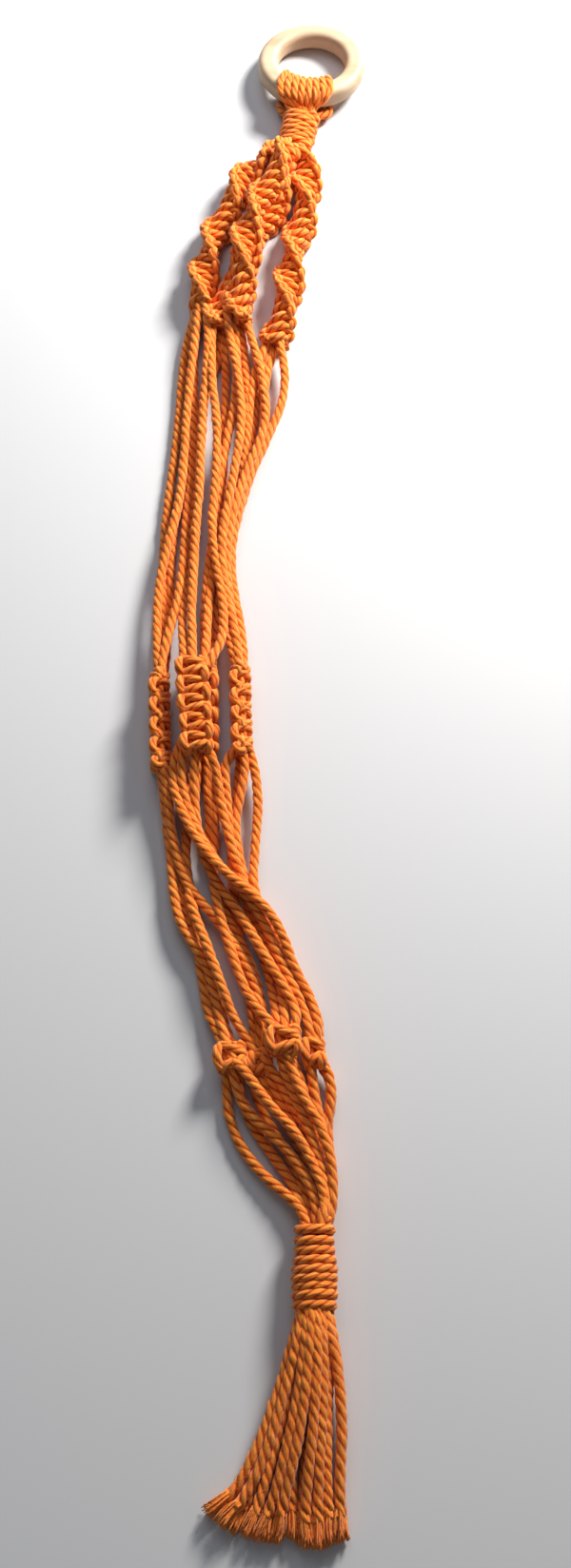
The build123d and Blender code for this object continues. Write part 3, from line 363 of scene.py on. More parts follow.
# The sixteen cords of the tassel, from the bottom wrap to their cut ends.
TASSEL = [
    [(0.0146, -0.2866, 0.009), (0.0115, -0.297, 0.008), (0.007, -0.311, 0.007),
     (0.0015, -0.325, 0.006), (-0.0045, -0.338, 0.005), (-0.0105, -0.347, 0.004),
     (-0.0185, -0.353, 0.003)],
    [(0.016, -0.2866, 0.012), (0.013, -0.299, 0.0105), (0.0088, -0.314, 0.009),
     (0.0038, -0.329, 0.0075), (-0.002, -0.342, 0.006), (-0.008, -0.351, 0.005),
     (-0.014, -0.357, 0.004)],
    [(0.017, -0.2866, 0.0088), (0.0148, -0.298, 0.008), (0.0115, -0.312, 0.007),
     (0.007, -0.326, 0.006), (0.0032, -0.34, 0.005), (-0.0006, -0.351, 0.004),
     (-0.0046, -0.3605, 0.0026)],
    [(0.0152, -0.2866, 0.006), (0.0123, -0.297, 0.005), (0.009, -0.311, 0.0036),
     (0.005, -0.325, 0.0026), (0.0005, -0.338, 0.0024), (-0.0045, -0.349, 0.0023),
     (-0.01, -0.359, 0.0022)],
    [(0.018, -0.2866, 0.013), (0.0167, -0.299, 0.012), (0.0143, -0.314, 0.0105),
     (0.0108, -0.329, 0.009), (0.0073, -0.342, 0.007), (0.0038, -0.353, 0.0045),
     (-0.0002, -0.3615, 0.0026)],
    [(0.02, -0.2866, 0.014), (0.0187, -0.3, 0.013), (0.0168, -0.316, 0.0115),
     (0.014, -0.331, 0.0095), (0.0105, -0.344, 0.007), (0.008, -0.354, 0.0048),
     (0.0065, -0.362, 0.003)],
    [(0.0195, -0.2866, 0.0098), (0.0183, -0.298, 0.0085), (0.0155, -0.312, 0.007),
     (0.0135, -0.326, 0.0055), (0.0125, -0.339, 0.0042), (0.0125, -0.351, 0.003),
     (0.0128, -0.361, 0.0024)],
    [(0.022, -0.2866, 0.014), (0.0221, -0.3, 0.013), (0.021, -0.316, 0.0115),
     (0.0195, -0.331, 0.0095), (0.0178, -0.345, 0.0065), (0.0172, -0.355, 0.0045),
     (0.018, -0.364, 0.003)],
    [(0.024, -0.2866, 0.013), (0.0245, -0.299, 0.0115), (0.0242, -0.314, 0.01),
     (0.0232, -0.329, 0.0085), (0.0223, -0.342, 0.0065), (0.022, -0.353, 0.0045),
     (0.0223, -0.3645, 0.003)],
    [(0.0245, -0.2866, 0.0098), (0.026, -0.298, 0.0085), (0.0262, -0.312, 0.007),
     (0.0255, -0.326, 0.006), (0.0256, -0.34, 0.005), (0.026, -0.352, 0.004),
     (0.0262, -0.363, 0.0028)],
    [(0.0262, -0.2866, 0.011), (0.029, -0.297, 0.0098), (0.031, -0.311, 0.0083),
     (0.0314, -0.326, 0.007), (0.0303, -0.34, 0.0055), (0.0302, -0.3515, 0.004),
     (0.0298, -0.362, 0.0028)],
    [(0.0275, -0.2866, 0.008), (0.0293, -0.296, 0.0065), (0.0308, -0.309, 0.005),
     (0.0314, -0.323, 0.004), (0.0305, -0.337, 0.003), (0.0305, -0.35, 0.0024),
     (0.0308, -0.362, 0.0022)],
    [(0.02, -0.2866, 0.0058), (0.0198, -0.298, 0.0046), (0.0184, -0.312, 0.0034),
     (0.0175, -0.326, 0.0025), (0.0173, -0.34, 0.0023), (0.0162, -0.352, 0.0022),
     (0.0155, -0.363, 0.0023)],
    [(0.023, -0.2866, 0.0058), (0.0235, -0.298, 0.0046), (0.0233, -0.312, 0.0034),
     (0.0222, -0.326, 0.0025), (0.0209, -0.34, 0.0023), (0.02, -0.352, 0.0022),
     (0.02, -0.363, 0.0023)],
    [(0.0175, -0.2866, 0.0048), (0.0158, -0.298, 0.0036), (0.0135, -0.312, 0.0026),
     (0.0113, -0.326, 0.0023), (0.008, -0.339, 0.0022), (0.0055, -0.351, 0.0023),
     (0.0035, -0.362, 0.0022)],
    [(0.0255, -0.2866, 0.0048), (0.0265, -0.298, 0.0038), (0.0264, -0.311, 0.0028),
     (0.0253, -0.324, 0.0023), (0.0245, -0.338, 0.0022), (0.0248, -0.351, 0.0023),
     (0.0245, -0.3635, 0.0022)],
]
# The eight cords folded over the ring: from the top wrap over its bar, and back below it.
FOLDS = [
    [(0.0137, 0.306, 0.0106), (0.0057, 0.314, 0.0173), (0.0113, 0.3287, 0.0155),
     (0.0113, 0.3272, 0.0014), (0.0057, 0.3125, 0.0032), (0.0137, 0.306, 0.0054)],
    [(0.015, 0.306, 0.0106), (0.0099, 0.3116, 0.0175), (0.0138, 0.3264, 0.0158),
     (0.0138, 0.3249, 0.0017), (0.0099, 0.31, 0.0034), (0.015, 0.306, 0.0054)],
    [(0.0164, 0.306, 0.0106), (0.014, 0.31, 0.0177), (0.0165, 0.3251, 0.0161),
     (0.0165, 0.3236, 0.0019), (0.014, 0.3085, 0.0036), (0.0164, 0.306, 0.0054)],
    [(0.0177, 0.306, 0.0106), (0.018, 0.3091, 0.0178), (0.0194, 0.3238, 0.0162),
     (0.0194, 0.3223, 0.0021), (0.018, 0.3076, 0.0037), (0.0177, 0.306, 0.0054)],
    [(0.0191, 0.306, 0.0106), (0.0219, 0.3088, 0.0178), (0.0223, 0.3231, 0.0163),
     (0.0223, 0.3216, 0.0022), (0.0219, 0.3072, 0.0037), (0.0191, 0.306, 0.0054)],
    [(0.0204, 0.306, 0.0106), (0.0259, 0.3088, 0.0178), (0.0253, 0.3232, 0.0163),
     (0.0253, 0.3217, 0.0021), (0.0259, 0.3073, 0.0037), (0.0204, 0.306, 0.0054)],
    [(0.0218, 0.306, 0.0106), (0.0299, 0.3093, 0.0178), (0.0282, 0.3236, 0.0162),
     (0.0282, 0.322, 0.0021), (0.0299, 0.3078, 0.0037), (0.0218, 0.306, 0.0054)],
    [(0.0231, 0.306, 0.0106), (0.0339, 0.3104, 0.0177), (0.031, 0.3245, 0.016),
     (0.031, 0.3229, 0.0019), (0.0339, 0.3088, 0.0035), (0.0231, 0.306, 0.0054)],
]
# Top and bottom of each wrap.
TOP_WRAP = ((0.0184, 0.305, 0.008), (0.0146, 0.2832, 0.008))
BOTTOM_WRAP = ((0.0213, -0.2475, 0.0078), (0.0213, -0.281, 0.0078))


# ---- lines ----------------------------------------------------------------------------------------
def smooth_line(points):
    """The points of the smooth NURBS line that has these control points."""
    data = bpy.data.curves.new("line", "CURVE")
    data.dimensions = "3D"
    data.resolution_u = 12
    spline = data.splines.new("NURBS")
    spline.points.add(len(points) - 1)
    for control, point in zip(spline.points, points):
        control.co = (*point, 1)
    spline.order_u = 3
    spline.use_endpoint_u = True
    holder = bpy.data.objects.new("line", data)
    mesh = bpy.data.meshes.new_from_object(holder)
    line = np.array([v.co for v in mesh.vertices], float)
    bpy.data.meshes.remove(mesh)
    bpy.data.objects.remove(holder)
    bpy.data.curves.remove(data)
    return line


def length_of(line):
    return float(np.linalg.norm(np.diff(line, axis=0), axis=1).sum())


def evenly(line, step):
    """The same line with its points one step apart, and how far along each one is."""
    far = np.concatenate([[0], np.cumsum(np.linalg.norm(np.diff(line, axis=0), axis=1))])
    at = np.linspace(0, far[-1], max(3, round(far[-1] / step) + 1))
    return np.stack([np.interp(at, far, line[:, k]) for k in range(3)], axis=1), at


def carried(line, up):
    """Directions along a line, and across it, carried along with no twist: ahead, side, out."""
    ahead = np.gradient(line, axis=0)
    ahead /= np.maximum(np.linalg.norm(ahead, axis=1), 1e-12)[:, None]
    out = np.empty_like(line)
    now = np.array(up, float)
    for i, a in enumerate(ahead):
        now = now - a * (now @ a)
        now /= max(np.linalg.norm(now), 1e-9)
        out[i] = now
    return ahead, np.cross(out, ahead), out


# ---- cord meshes ----------------------------------------------------------------------------------
class Mesh:
    """Points, faces and the lay map of one piece, which may hold several cords."""

    def __init__(self):
        self.points, self.faces, self.lay, self.count = [], [], [], 0

    def add(self, points, faces, lay):
        self.points.append(points)
        self.faces += [tuple(i + self.count for i in face) for face in faces]
        self.lay += lay
        self.count += len(points)


def tube_faces(rings, around):
    """Outward faces of a closed tube, and the lay map's corners: along, round."""
    faces, where = [], []
    for i in range(rings - 1):
        for j in range(around):
            k = (j + 1) % around
            faces.append((i * around + j, i * around + k, (i + 1) * around + k, (i + 1) * around + j))
            where.append(((i, j), (i, j + 1), (i + 1, j + 1), (i + 1, j)))
    first, last = rings * around, rings * around + 1
    end = (rings - 1) * around
    for j in range(around):
        k = (j + 1) % around
        faces.append((first, k, j))
        where.append(((0, j), (0, j + 1), (0, j)))
        faces.append((last, end + j, end + k))
        where.append(((rings - 1, j), (rings - 1, j), (rings - 1, j + 1)))
    return faces, where


def wandering(rng, far, step, size):
    """A smooth random value along a line, with a new level every step."""
    at = np.arange(0, far[-1] + 3 * step, step)
    return np.interp(far, at, rng.normal(size=len(at))) * size


def on_table(points):
    """The same points, with any that would be under the table pressed flat just above it."""
    low = points[:, 2] < PRESSED
    points[low, 2] = PRESSED * np.exp(points[low, 2] / PRESSED - 1)
    return points


def add_cord(mesh, line, thick, phase, opening=0.0):
    """A three-ply cord along a line, a little uneven as spun cotton is. Its plies part over the
    last stretch, opening long."""
    line, far = evenly(line, RING_STEP)
    _, side, out = carried(line, ASLANT)
    ply = np.arange(RING_POINTS) / PLY_POINTS % 1
    hollow = 1 - np.sin(np.pi * ply)
    # A cord's unevenness follows from its phase, so that each cord has its own.
    rng = np.random.default_rng(int(abs(phase) * 1000) % 9973)
    swell = 1 + wandering(rng, far, 0.003, 0.035)
    deep = np.full(len(line), CREASE)
    if opening:
        part = np.clip((far - (far[-1] - opening)) / opening, 0, 1)
        deep = deep + 0.3 * part
        swell = swell * (1 + 0.12 * part)
    turn = phase - 2 * math.pi * far / (LAY * rng.uniform(0.94, 1.06))
    turn = turn + wandering(rng, far, 0.009, 0.16)
    angle = turn[:, None] + 2 * math.pi * np.arange(RING_POINTS) / RING_POINTS
    fat = 1 + np.stack([wandering(rng, far, 0.006, 0.045) for _ in range(3)], axis=1)
    fat = np.repeat(fat, PLY_POINTS, axis=1)
    radius = thick / 2 * swell[:, None] * (1 - deep[:, None] * hollow) * (1 + (fat - 1) * (1 - hollow))
    across, rise = radius * np.cos(angle), radius * np.sin(angle)
    points = line[:, None] + across[..., None] * side[:, None] + rise[..., None] * out[:, None]
    points = on_table(np.concatenate([points.reshape(-1, 3), line[[0, -1]]]))
    faces, where = tube_faces(len(line), RING_POINTS)
    shift = rng.random()
    lay = [((far[i] + shift) * 10, j / RING_POINTS) for corner in where for i, j in corner]
    mesh.add(points, faces, lay)
    add_fuzz(mesh, line, side, out, thick, rng)


def add_fuzz(mesh, line, side, out, thick, rng):
    """Short loose fibres which stand a little off a cord."""
    rings, around = 3, 3
    faces, where = tube_faces(rings, around)
    corner_turn = 2 * math.pi * np.arange(around) / around
    for _ in range(int(len(line) * RING_STEP / FUZZ_PITCH)):
        first = int(rng.integers(0, len(line) - FUZZ_REACH))
        turn, lift = rng.random() * 2 * math.pi, rng.uniform(0.1, 0.5) * 0.001
        middle = []
        for k in range(rings):
            i = first + k * (FUZZ_REACH - 1) // (rings - 1)
            now = turn + 0.5 * k
            radial = side[i] * math.cos(now) + out[i] * math.sin(now)
            middle.append(line[i] + radial * (thick * 0.46 + lift * (k / (rings - 1)) ** 1.5))
        middle = np.array(middle)
        ring = np.cos(corner_turn)[:, None] * side[first] + np.sin(corner_turn)[:, None] * out[first]
        points = middle[:, None] + FUZZ_R * ring[None]
        points = np.concatenate([points.reshape(-1, 3), middle[[0, -1]]])
        lay = [(0.3 + i * 0.01, PLY_CROWN) for corner in where for i, _ in corner]
        mesh.add(on_table(points), faces, lay)


def piece(name, mesh):
    """The finished object of a mesh, smooth, with its lay map."""
    data = bpy.data.meshes.new(name)
    data.from_pydata(np.concatenate(mesh.points).tolist(), [], mesh.faces)
    lay = data.uv_layers.new(name="lay")
    lay.data.foreach_set("uv", np.array(mesh.lay, np.float32).ravel())
    data.polygons.foreach_set("use_smooth", [True] * len(data.polygons))
    data.materials.append(COTTON)
    obj = bpy.data.objects.new(name, data)
    bpy.context.scene.collection.objects.link(obj)
    return obj


# ---- materials ------------------------------------------------------------------------------------
def colour(code):
    """An sRGB hex value as linear colour."""
    parts = [int(code[i:i + 2], 16) / 255 for i in (1, 3, 5)]
    return (*(c / 12.92 if c <= 0.04045 else ((c + 0.055) / 1.055) ** 2.4 for c in parts), 1)


def node(material, kind, links=None, **settings):
    """A node with its settings; links gives each input's socket or value."""
    made = material.node_tree.nodes.new(kind)
    for name, value in settings.items():
        setattr(made, name, value)
    for name, value in (links or {}).items():
        if isinstance(value, bpy.types.NodeSocket):
            material.node_tree.links.new(value, made.inputs[name])
        else:
            made.inputs[name].default_value = value
    return made


def new_material(name):
    """An empty node material and its shader."""
    material = bpy.data.materials.new(name)
    material.use_nodes = True
    return material, material.node_tree.nodes["Principled BSDF"]


def cotton():
    """Twisted cotton yarn, dyed orange: matt, fine fibres along the cord, painted shade between plies.
    """
    material, shader = new_material("dyed_cotton_twisted")
    lay = node(material, "ShaderNodeUVMap", uv_map="lay")
    place = node(material, "ShaderNodeSeparateXYZ", {"Vector": lay.outputs["UV"]})
    thrice = node(material, "ShaderNodeMath", {0: place.outputs["Y"], 1: 3.0}, operation="MULTIPLY")
    within = node(material, "ShaderNodeMath", {0: thrice.outputs[0]}, operation="FRACT")
    centred = node(material, "ShaderNodeMath", {0: within.outputs[0], 1: 0.5}, operation="SUBTRACT")
    off = node(material, "ShaderNodeMath", {0: centred.outputs[0]}, operation="ABSOLUTE")
    # Mask for the painted shade: 1 in the hollows between plies, 0 on their crowns.
    hollow = node(material, "ShaderNodeMapRange",
                  {"Value": off.outputs[0], "From Min": 0.22, "From Max": 0.5},
                  interpolation_type="SMOOTHSTEP")
    slant = node(material, "ShaderNodeMath",
                 {0: place.outputs["X"], 1: FIBRE_SLANT, 2: place.outputs["Y"]},
                 operation="MULTIPLY_ADD")
    fibre_way = node(material, "ShaderNodeCombineXYZ", {"X": place.outputs["X"], "Y": slant.outputs[0]})
    # A streak is about 4.5 mm long and 0.9 mm wide: real fibres, of 0.02 mm, are too fine to show.
    streak_at = node(material, "ShaderNodeMapping",
                     {"Vector": fibre_way.outputs[0], "Scale": (22.0, 15.0, 1.0)})
    streak = node(material, "ShaderNodeTexNoise",
                  {"Vector": streak_at.outputs[0], "Scale": 1.0, "Detail": 4.0, "Roughness": 0.6})
    place_on = node(material, "ShaderNodeTexCoord")
    # The dye is uneven in patches of about 11 mm.
    dye = node(material, "ShaderNodeTexNoise",
               {"Vector": place_on.outputs["Object"], "Scale": 90.0, "Detail": 2.0})
    yarn = node(material, "ShaderNodeValToRGB", {"Fac": streak.outputs["Fac"]})
    yarn.color_ramp.elements[0].position, yarn.color_ramp.elements[1].position = 0.3, 0.72
    yarn.color_ramp.elements[0].color = colour("#EC6410")
    yarn.color_ramp.elements[1].color = colour("#FFBD58")
    faded = node(material, "ShaderNodeMath", {0: dye.outputs["Fac"], 1: 0.6}, operation="MULTIPLY")
    dyed = node(material, "ShaderNodeMix",
                {"Factor": faded.outputs[0], 6: yarn.outputs["Color"], 7: colour("#FF7D22")},
                data_type="RGBA")
    # Painted shade: the hollows between plies are mixed towards a darker orange.
    crease_painted_shade = node(material, "ShaderNodeMix",
                  {"Factor": hollow.outputs[0], 6: dyed.outputs[2], 7: colour("#BC450C")},
                  data_type="RGBA")
    bump = node(material, "ShaderNodeBump",
                {"Height": streak.outputs["Fac"], "Strength": 1.0, "Distance": 0.0008})
    links = material.node_tree.links
    links.new(crease_painted_shade.outputs[2], shader.inputs["Base Color"])
    links.new(bump.outputs[0], shader.inputs["Normal"])
    shader.inputs["Roughness"].default_value = 0.92
    shader.inputs["Specular IOR Level"].default_value = 0.2
    shader.inputs["Sheen Weight"].default_value = 0.25
    shader.inputs["Sheen Roughness"].default_value = 0.4
    return material


def beech():
    """Beech, turned and sanded, with no finish: pale, straight grain with short dark flecks."""
    material, shader = new_material("beech_turned_sanded")
    place_on = node(material, "ShaderNodeTexCoord")
    along_grain = (0.1, 0.05, 0.6)
    # The flecks are drawn coarser than real ones, so that they show: about 17 mm by 1.1 to
    # 1.4 mm. The bands of tone are about 7 times as large.
    turned = node(material, "ShaderNodeMapping",
                  {"Vector": place_on.outputs["Object"], "Rotation": along_grain,
                   "Scale": (60.0, 900.0, 700.0)})
    grain = node(material, "ShaderNodeTexNoise",
                 {"Vector": turned.outputs[0], "Scale": 1.0, "Detail": 4.0, "Roughness": 0.55})
    wide = node(material, "ShaderNodeMapping",
                {"Vector": place_on.outputs["Object"], "Rotation": along_grain,
                 "Scale": (8.0, 130.0, 110.0)})
    bands = node(material, "ShaderNodeTexNoise",
                 {"Vector": wide.outputs[0], "Scale": 1.0, "Detail": 2.0})
    tone = node(material, "ShaderNodeValToRGB", {"Fac": bands.outputs["Fac"]})
    tone.color_ramp.elements[0].position, tone.color_ramp.elements[1].position = 0.3, 0.75
    tone.color_ramp.elements[0].color = colour("#AC9274")
    tone.color_ramp.elements[1].color = colour("#C4AE93")
    fleck = node(material, "ShaderNodeMapRange",
                 {"Value": grain.outputs["Fac"], "From Min": 0.56, "From Max": 0.75, "To Max": 0.45})
    flecked = node(material, "ShaderNodeMix",
                   {"Factor": fleck.outputs[0], 6: tone.outputs["Color"], 7: colour("#B08D63")},
                   data_type="RGBA")
    bump = node(material, "ShaderNodeBump",
                {"Height": grain.outputs["Fac"], "Strength": 0.25, "Distance": 0.0001})
    links = material.node_tree.links
    links.new(flecked.outputs[2], shader.inputs["Base Color"])
    links.new(bump.outputs[0], shader.inputs["Normal"])
    shader.inputs["Roughness"].default_value = 0.55
    return material


COTTON = cotton()
BEECH = beech()


# ---- free strands ---------------------------------------------------------------------------------
def mouths_of(ends, outward):
    """Where a strand can go into a knot, and the way into it."""
    found = []
    for top, bottom in ends:
        a, b = np.array(top), np.array(bottom)
        into = (b - a) / np.linalg.norm(b - a)
        found.append((a, into) if outward == "top" else (b, -into))
    return found


def tucked(point, mouths):
    """The end of a strand inside the knot that it meets at that point."""
    centre, into = min(mouths, key=lambda m: np.linalg.norm(m[0] - np.array(point)))
    away = np.array(point) - centre
    sideways = away - into * (away @ into)
    return tuple(np.array(point) + into * TUCK - 0.35 * sideways)


def add_brush(mesh, line, phase):
    """Loose yarns where a cord's cut end has opened."""
    rng = np.random.default_rng(int(phase * 100) + 7)
    ahead, side, out = carried(line, ASLANT)
    rings, around = 6, 4
    faces, where = tube_faces(rings, around)
    root = line[len(line) - 1 - int((BRUSH + BRUSH_ROOT) / FINE_STEP)]
    t = np.linspace(0, 1, rings)
    at = 2 * math.pi * np.arange(around) / around
    ring = np.cos(at)[:, None] * side[-1] + np.sin(at)[:, None] * out[-1]
    for _ in range(BRUSH_YARNS):
        turn, reach = rng.random() * 2 * math.pi, math.sqrt(rng.random())
        direction = side[-1] * math.cos(turn) + out[-1] * math.sin(turn)
        flare, run = rng.uniform(0.03, 0.19) * reach, BRUSH + rng.uniform(0.0005, 0.0044)
        bow = rng.uniform(-1, 1, 3) * 0.0009
        base = root + direction * reach * CORD * 0.40
        centre = (base + ahead[-1] * (t * run)[:, None] + direction * (t**1.5 * run * flare)[:, None]
                  + bow * np.sin(math.pi * t)[:, None])
        centre[:, 2] = np.maximum(centre[:, 2], YARN_FLOOR)
        radius = YARN_R * (1 - 0.5 * t)
        points = centre[:, None] + radius[:, None, None] * ring[None]
        points = np.concatenate([points.reshape(-1, 3), centre[[0, -1]]])
        lay = [(i * 0.012 + turn, PLY_CROWN + 0.02 * j) for corner in where for i, j in corner]
        mesh.add(points, faces, lay)


def strand(name, route, phase, nodes, opening=0.0):
    """One free strand, which stands for its CAD nodes."""
    line = smooth_line(route)
    mesh = Mesh()
    if opening:
        fine, far = evenly(line, FINE_STEP)
        add_cord(mesh, fine[far < far[-1] - BRUSH], STRAND, phase, opening)
        add_brush(mesh, fine, phase)
    else:
        add_cord(mesh, line, STRAND, phase)
    obj = piece(name, mesh)
    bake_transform(obj)
    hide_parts(*nodes)


sennit_ends = [value[:2] for value in SENNITS.values()]
knot_ends = [value[:2] for value in KNOTS.values()]
spiral_ends = [(route[-2], route[-1]) for route in SPIRALS.values()]
# Name, routes, the two bodies, where the bend starts and ends along y, and the knots at both ends.
STRETCHES = (
    ("upper", UPPER_CORDS, ("neck", "upper_knots"), 0.150, 0.015,
     mouths_of(spiral_ends, "bottom"), mouths_of(sennit_ends, "top")),
    ("middle", MIDDLE_CORDS, ("upper_knots", "lower_knots"), -0.062, -0.163,
     mouths_of(sennit_ends, "bottom"), mouths_of(knot_ends, "top")),
    ("lower", LOWER_CORDS, ("lower_knots", "tassel_knot"), -0.193, -0.240,
     mouths_of(knot_ends, "bottom"), mouths_of([BOTTOM_WRAP], "top")),
)
NEXT_PHASE = 2.4         # radians between the twists of one strand and the next
phase = 0.0
for stretch, routes_by_side, bodies, start_y, end_y, from_mouths, to_mouths in STRETCHES:
    for side, routes in routes_by_side.items():
        for number, route in enumerate(routes, 1):
            phase += NEXT_PHASE
            full = [tucked(route[0], from_mouths), *route, tucked(route[-1], to_mouths)]
            strand(f"{side}_{stretch}_strand_{number}", full, phase,
                   [f"{side}_{stretch}_cords"])

wrap_foot = mouths_of([BOTTOM_WRAP], "bottom")
for number, route in enumerate(TASSEL, 1):
    phase += NEXT_PHASE
    nodes = [f"tassel_strand_{number:02d}"] + (["tassel_neck"] if number == 1 else [])
    first = tuple(np.array(route[0]) + (0, TASSEL_RISE, 0))
    full = [tucked(first, wrap_foot), *route]
    strand(f"tassel_cord_{number:02d}", full, phase,
           nodes, OPENING)


# ---- knotted lengths ------------------------------------------------------------------------------
def knotted(name, axis, node_name, body, row, half, thick, seed, roll,
            rows=None, wave=0.0, alternate=False, lead=None):
    """Half knots of two working cords round two core cords, one in each row. half is from the
    middle to the working cords' middles, at the edge and at the face; wave is the length in which
    the edge turns half way round; alternate ties them into square knots; lead is where the cords
    come from."""
    wide, deep = half
    fine, far = evenly(axis, FINE_STEP)
    _, side, out = carried(fine, (0, 0, 1))
    rows = rows or round(far[-1] / row)
    rng = np.random.default_rng(seed)

    def at(u, w, s):
        """The point u across and w out from the axis, at s along it."""
        k = min(max(s, 0.0), far[-1])
        here = np.array([np.interp(k, far, fine[:, i]) for i in range(3)])
        across = np.array([np.interp(k, far, side[:, i]) for i in range(3)])
        rise = np.array([np.interp(k, far, out[:, i]) for i in range(3)])
        here = here - (s - k) * np.cross(across, rise)
        turn = math.radians(roll) - (math.pi * s / wave if wave else 0.0)
        c, d = math.cos(turn), math.sin(turn)
        return tuple(here + u * (c * across + d * rise) + w * (c * rise - d * across))

    first, second = [], []
    for i in range(rows):
        s = (i + 0.5) * row
        way = -1 if alternate and i % 2 else 1
        w, d, r = wide * rng.uniform(0.96, 1.04), deep * rng.uniform(0.96, 1.04), row
        # In this row one cord crosses over the face, and the other under the back.
        over = [at(-way * 0.62 * w, 0.60 * d, s - 0.20 * r),
                at(0, d, s),
                at(way * 0.62 * w, 0.60 * d, s + 0.20 * r),
                at(way * 0.97 * w, 0.05 * d, s + 0.50 * r)]
        under = [at(way * 0.50 * w, -0.35 * d, s + 0.40 * r),
                 at(0, -d, s),
                 at(-way * 0.50 * w, -0.35 * d, s - 0.40 * r),
                 at(-way * 0.90 * w, 0.95 * d, s - 0.08 * r)]
        last = i == rows - 1
        if alternate and i == 0:
            over = [at(-way * 0.55 * w, 0, s - 0.62 * r),
                    at(-way * 0.66 * w, 0.35 * d, s - 0.40 * r), *over[1:]]
            under = [at(way * 0.55 * w, 0, s - 0.62 * r),
                     at(way * 0.80 * w, 0.1 * d, s - 0.2 * r),
                     at(way * 0.90 * w, 0.0, s + 0.15 * r), *under]
        if alternate and last:
            over[-1] = at(way * 0.86 * w, 0.0, s + 0.40 * r)
            over.append(at(way * 0.55 * w, -0.1 * d, s + 0.62 * r))
            under += [at(-way * 0.92 * w, 0.95 * d, s + 0.22 * r),
                      at(-way * 0.72 * w, 0.45 * d, s + 0.50 * r),
                      at(-way * 0.50 * w, 0, s + 0.64 * r)]
        elif alternate:
            under += [at(-way * 0.97 * w, 1.10 * d, s + 0.5 * r),
                      at(-way * 0.90 * w, 0.95 * d, s + 1.08 * r)]
        else:
            under = [at(way * 0.94 * w, 1.0 * d, s - 0.12 * r),
                     at(way * 0.88 * w, 0.6 * d, s + 0.24 * r), *under,
                     at(-way * 0.99 * w, 0.35 * d, s + 0.36 * r)]
        swap = (not alternate) and i % 2
        (second if swap else first).extend(over)
        (first if swap else second).extend(under)
    if lead:
        first.insert(0, lead)
        second.insert(0, lead)
    mesh = Mesh()
    add_cord(mesh, smooth_line(first), thick, seed * 1.3)
    add_cord(mesh, smooth_line(second), thick, seed * 2.1)
    for shift in (-0.3, 0.3):
        core = [at(shift * wide, 0, s) for s in np.linspace(0, rows * row, rows + 2)]
        if lead:
            core.insert(0, lead)
        add_cord(mesh, smooth_line(core), CORE_CORD, seed * 0.7 + shift)
    obj = piece(name, mesh)
    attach(obj, body)
    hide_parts(node_name)


# The roll of each spiral's first half knot in degrees, and where its cords come from.
SPIRAL_STARTS = {
    "left": (116, (0.0115, LEAD_Y, 0.0080)),
    "front": (-17, (0.0140, LEAD_Y, 0.0095)),
    "rear": (10, (0.0145, LEAD_Y, 0.0070)),
    "right": (84, (0.0170, LEAD_Y, 0.0080)),
}
for seed, (side, route) in enumerate(SPIRALS.items(), 1):
    roll, lead = SPIRAL_STARTS[side]
    knotted(f"{side}_half_knot_spiral", smooth_line(route), f"{side}_spiral", "neck", ROW,
            SPIRAL_HALF, SPIRAL_CORD, seed, roll, wave=HALF_WAVE, lead=lead)
for seed, (side, (top, bottom, roll)) in enumerate(SENNITS.items(), 11):
    axis = np.linspace(top, bottom, 20)
    knotted(f"{side}_square_knot_sennit", axis, f"{side}_sennit", "upper_knots",
            length_of(axis) / SENNIT_ROWS, SENNIT_HALF, SENNIT_CORD, seed, roll,
            rows=SENNIT_ROWS, alternate=True)
for seed, (side, (top, bottom, roll, width, thick)) in enumerate(KNOTS.items(), 21):
    axis = np.linspace(top, bottom, 20)
    half = (width / 2 - KNOT_INSET[0], thick / 2 - KNOT_INSET[1])
    knotted(f"{side}_square_knot", axis, f"{side}_knot", "lower_knots",
            length_of(axis) / KNOT_ROWS, half, KNOT_CORD, seed, roll,
            rows=KNOT_ROWS, alternate=True)


# ---- folds over the ring, and the gathering wraps -------------------------------------------------
folds = Mesh()
for number, route in enumerate(FOLDS):
    into_wrap = (0.0149 + 0.0006 * number, 0.2985)
    full = [(*into_wrap, 0.0096), *route, (*into_wrap, 0.0064)]
    add_cord(folds, smooth_line(full), FOLD_CORD, 5.1 + 1.7 * number)
ring_folds = piece("cords_folded_over_ring", folds)
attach(ring_folds, "neck")
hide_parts("ring_loops", "neck_bundle")


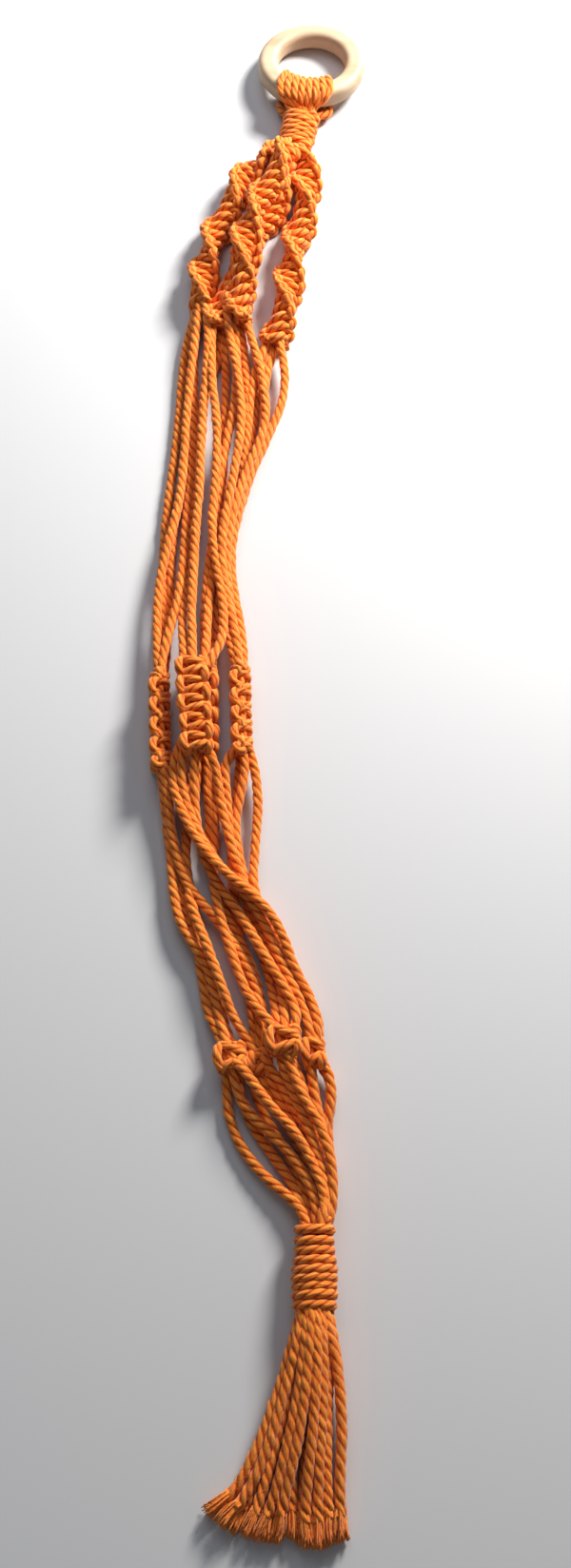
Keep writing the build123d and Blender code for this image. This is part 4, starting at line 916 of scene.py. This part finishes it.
def wrap(name, ends, nodes, body, turns, wide, high, lean, seed, early=0.0, waist=0.0):
    """A cord wound round the strands, each turn leaning by lean. wide and high are the half sizes
    of a turn. The winding starts early above its top end, and waist is how much its head is
    narrower than its foot."""
    top, bottom = np.array(ends[0]), np.array(ends[1])
    rng = np.random.default_rng(seed)
    ahead = (bottom - top) / np.linalg.norm(bottom - top)
    across = np.cross((0, 0, 1), ahead)
    rise = np.cross(ahead, across)
    length = np.linalg.norm(bottom - top)
    least = 0.0012           # the winding comes no nearer to either end
    loose = rng.uniform(-0.0007, 0.0007, turns + 2)
    gaps = rng.uniform(0.78, 1.22, turns + 1)
    starts = np.concatenate([[0], np.cumsum(gaps)])
    starts *= (length - 2 * WRAP_MARGIN + early) / starts[turns - 1]
    points = []
    for k in range((turns - 1) * WRAP_STEPS + WRAP_STEPS // 2):
        t = k / WRAP_STEPS
        angle = -2 * math.pi * t + 0.9
        bulge = 1 + np.interp(t, np.arange(turns + 2), loose) / wide
        s = WRAP_MARGIN - early + np.interp(t, np.arange(turns + 2), starts) + lean * math.cos(angle)
        s = min(max(s, least - early), length - least)
        bulge *= 1 + waist * (s / length - 0.5)
        points.append(tuple(top + ahead * s + across * wide * bulge * math.cos(angle)
                            + rise * high * bulge * math.sin(angle)))
    mesh = Mesh()
    add_cord(mesh, smooth_line(points), WRAP_CORD, seed * 1.1)
    obj = piece(name, mesh)
    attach(obj, body)
    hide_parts(*nodes)


wrap("top_gathering_wrap", TOP_WRAP, ["top_wrap"], "neck",
     turns=7, wide=0.0078, high=0.0060, lean=0.0007, seed=31)
wrap("bottom_gathering_wrap", BOTTOM_WRAP, ["bottom_wrap", "tassel_bundle"], "tassel_knot",
     turns=10, wide=0.0070, high=0.0060, lean=-0.0009, seed=32, early=0.002, waist=0.10)


# ---- the ring keeps its CAD shape -----------------------------------------------------------------
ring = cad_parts["ring"]
ring.data.materials.clear()
ring.data.materials.append(BEECH)

# ---- table and light ------------------------------------------------------------------------------
bpy.ops.mesh.primitive_plane_add(size=6, location=(0, 0, -0.0002))
table = bpy.context.object
table.name = "table"
# Painted board, sprayed: an even pale grey with a soft, wide sheen.
table_paint, table_shader = new_material("table_top_painted")
table_shader.inputs["Base Color"].default_value = colour("#D0D2D5")
table_shader.inputs["Roughness"].default_value = 0.6
table.data.materials.append(table_paint)


def area_light(name, place, aim, size, power, tint):
    """A round lamp at a place, turned to the point it is aimed at."""
    data = bpy.data.lights.new(name, "AREA")
    data.shape, data.size, data.energy, data.color = "DISK", size, power, colour(tint)[:3]
    lamp = bpy.data.objects.new(name, data)
    lamp.location = place
    lamp.rotation_euler = (Vector(aim) - Vector(place)).to_track_quat("-Z", "Y").to_euler()
    bpy.context.scene.collection.objects.link(lamp)


# Daylight from a window at the right, and the weaker light of the room.
area_light("window", (0.45, 0.66, 0.45), (0, 0.10, 0), 0.30, 18.2, "#FFFAF4")
area_light("room", (-0.15, 0.80, 0.9), (0, 0.2, 0), 0.8, 3.4, "#F4F6FF")
world = bpy.data.worlds.new("room")
bpy.context.scene.world = world
world.use_nodes = True
world.node_tree.nodes["Background"].inputs["Color"].default_value = colour("#E9EDF2")
world.node_tree.nodes["Background"].inputs["Strength"].default_value = 0.165
bpy.context.scene.view_settings.view_transform = "Standard"
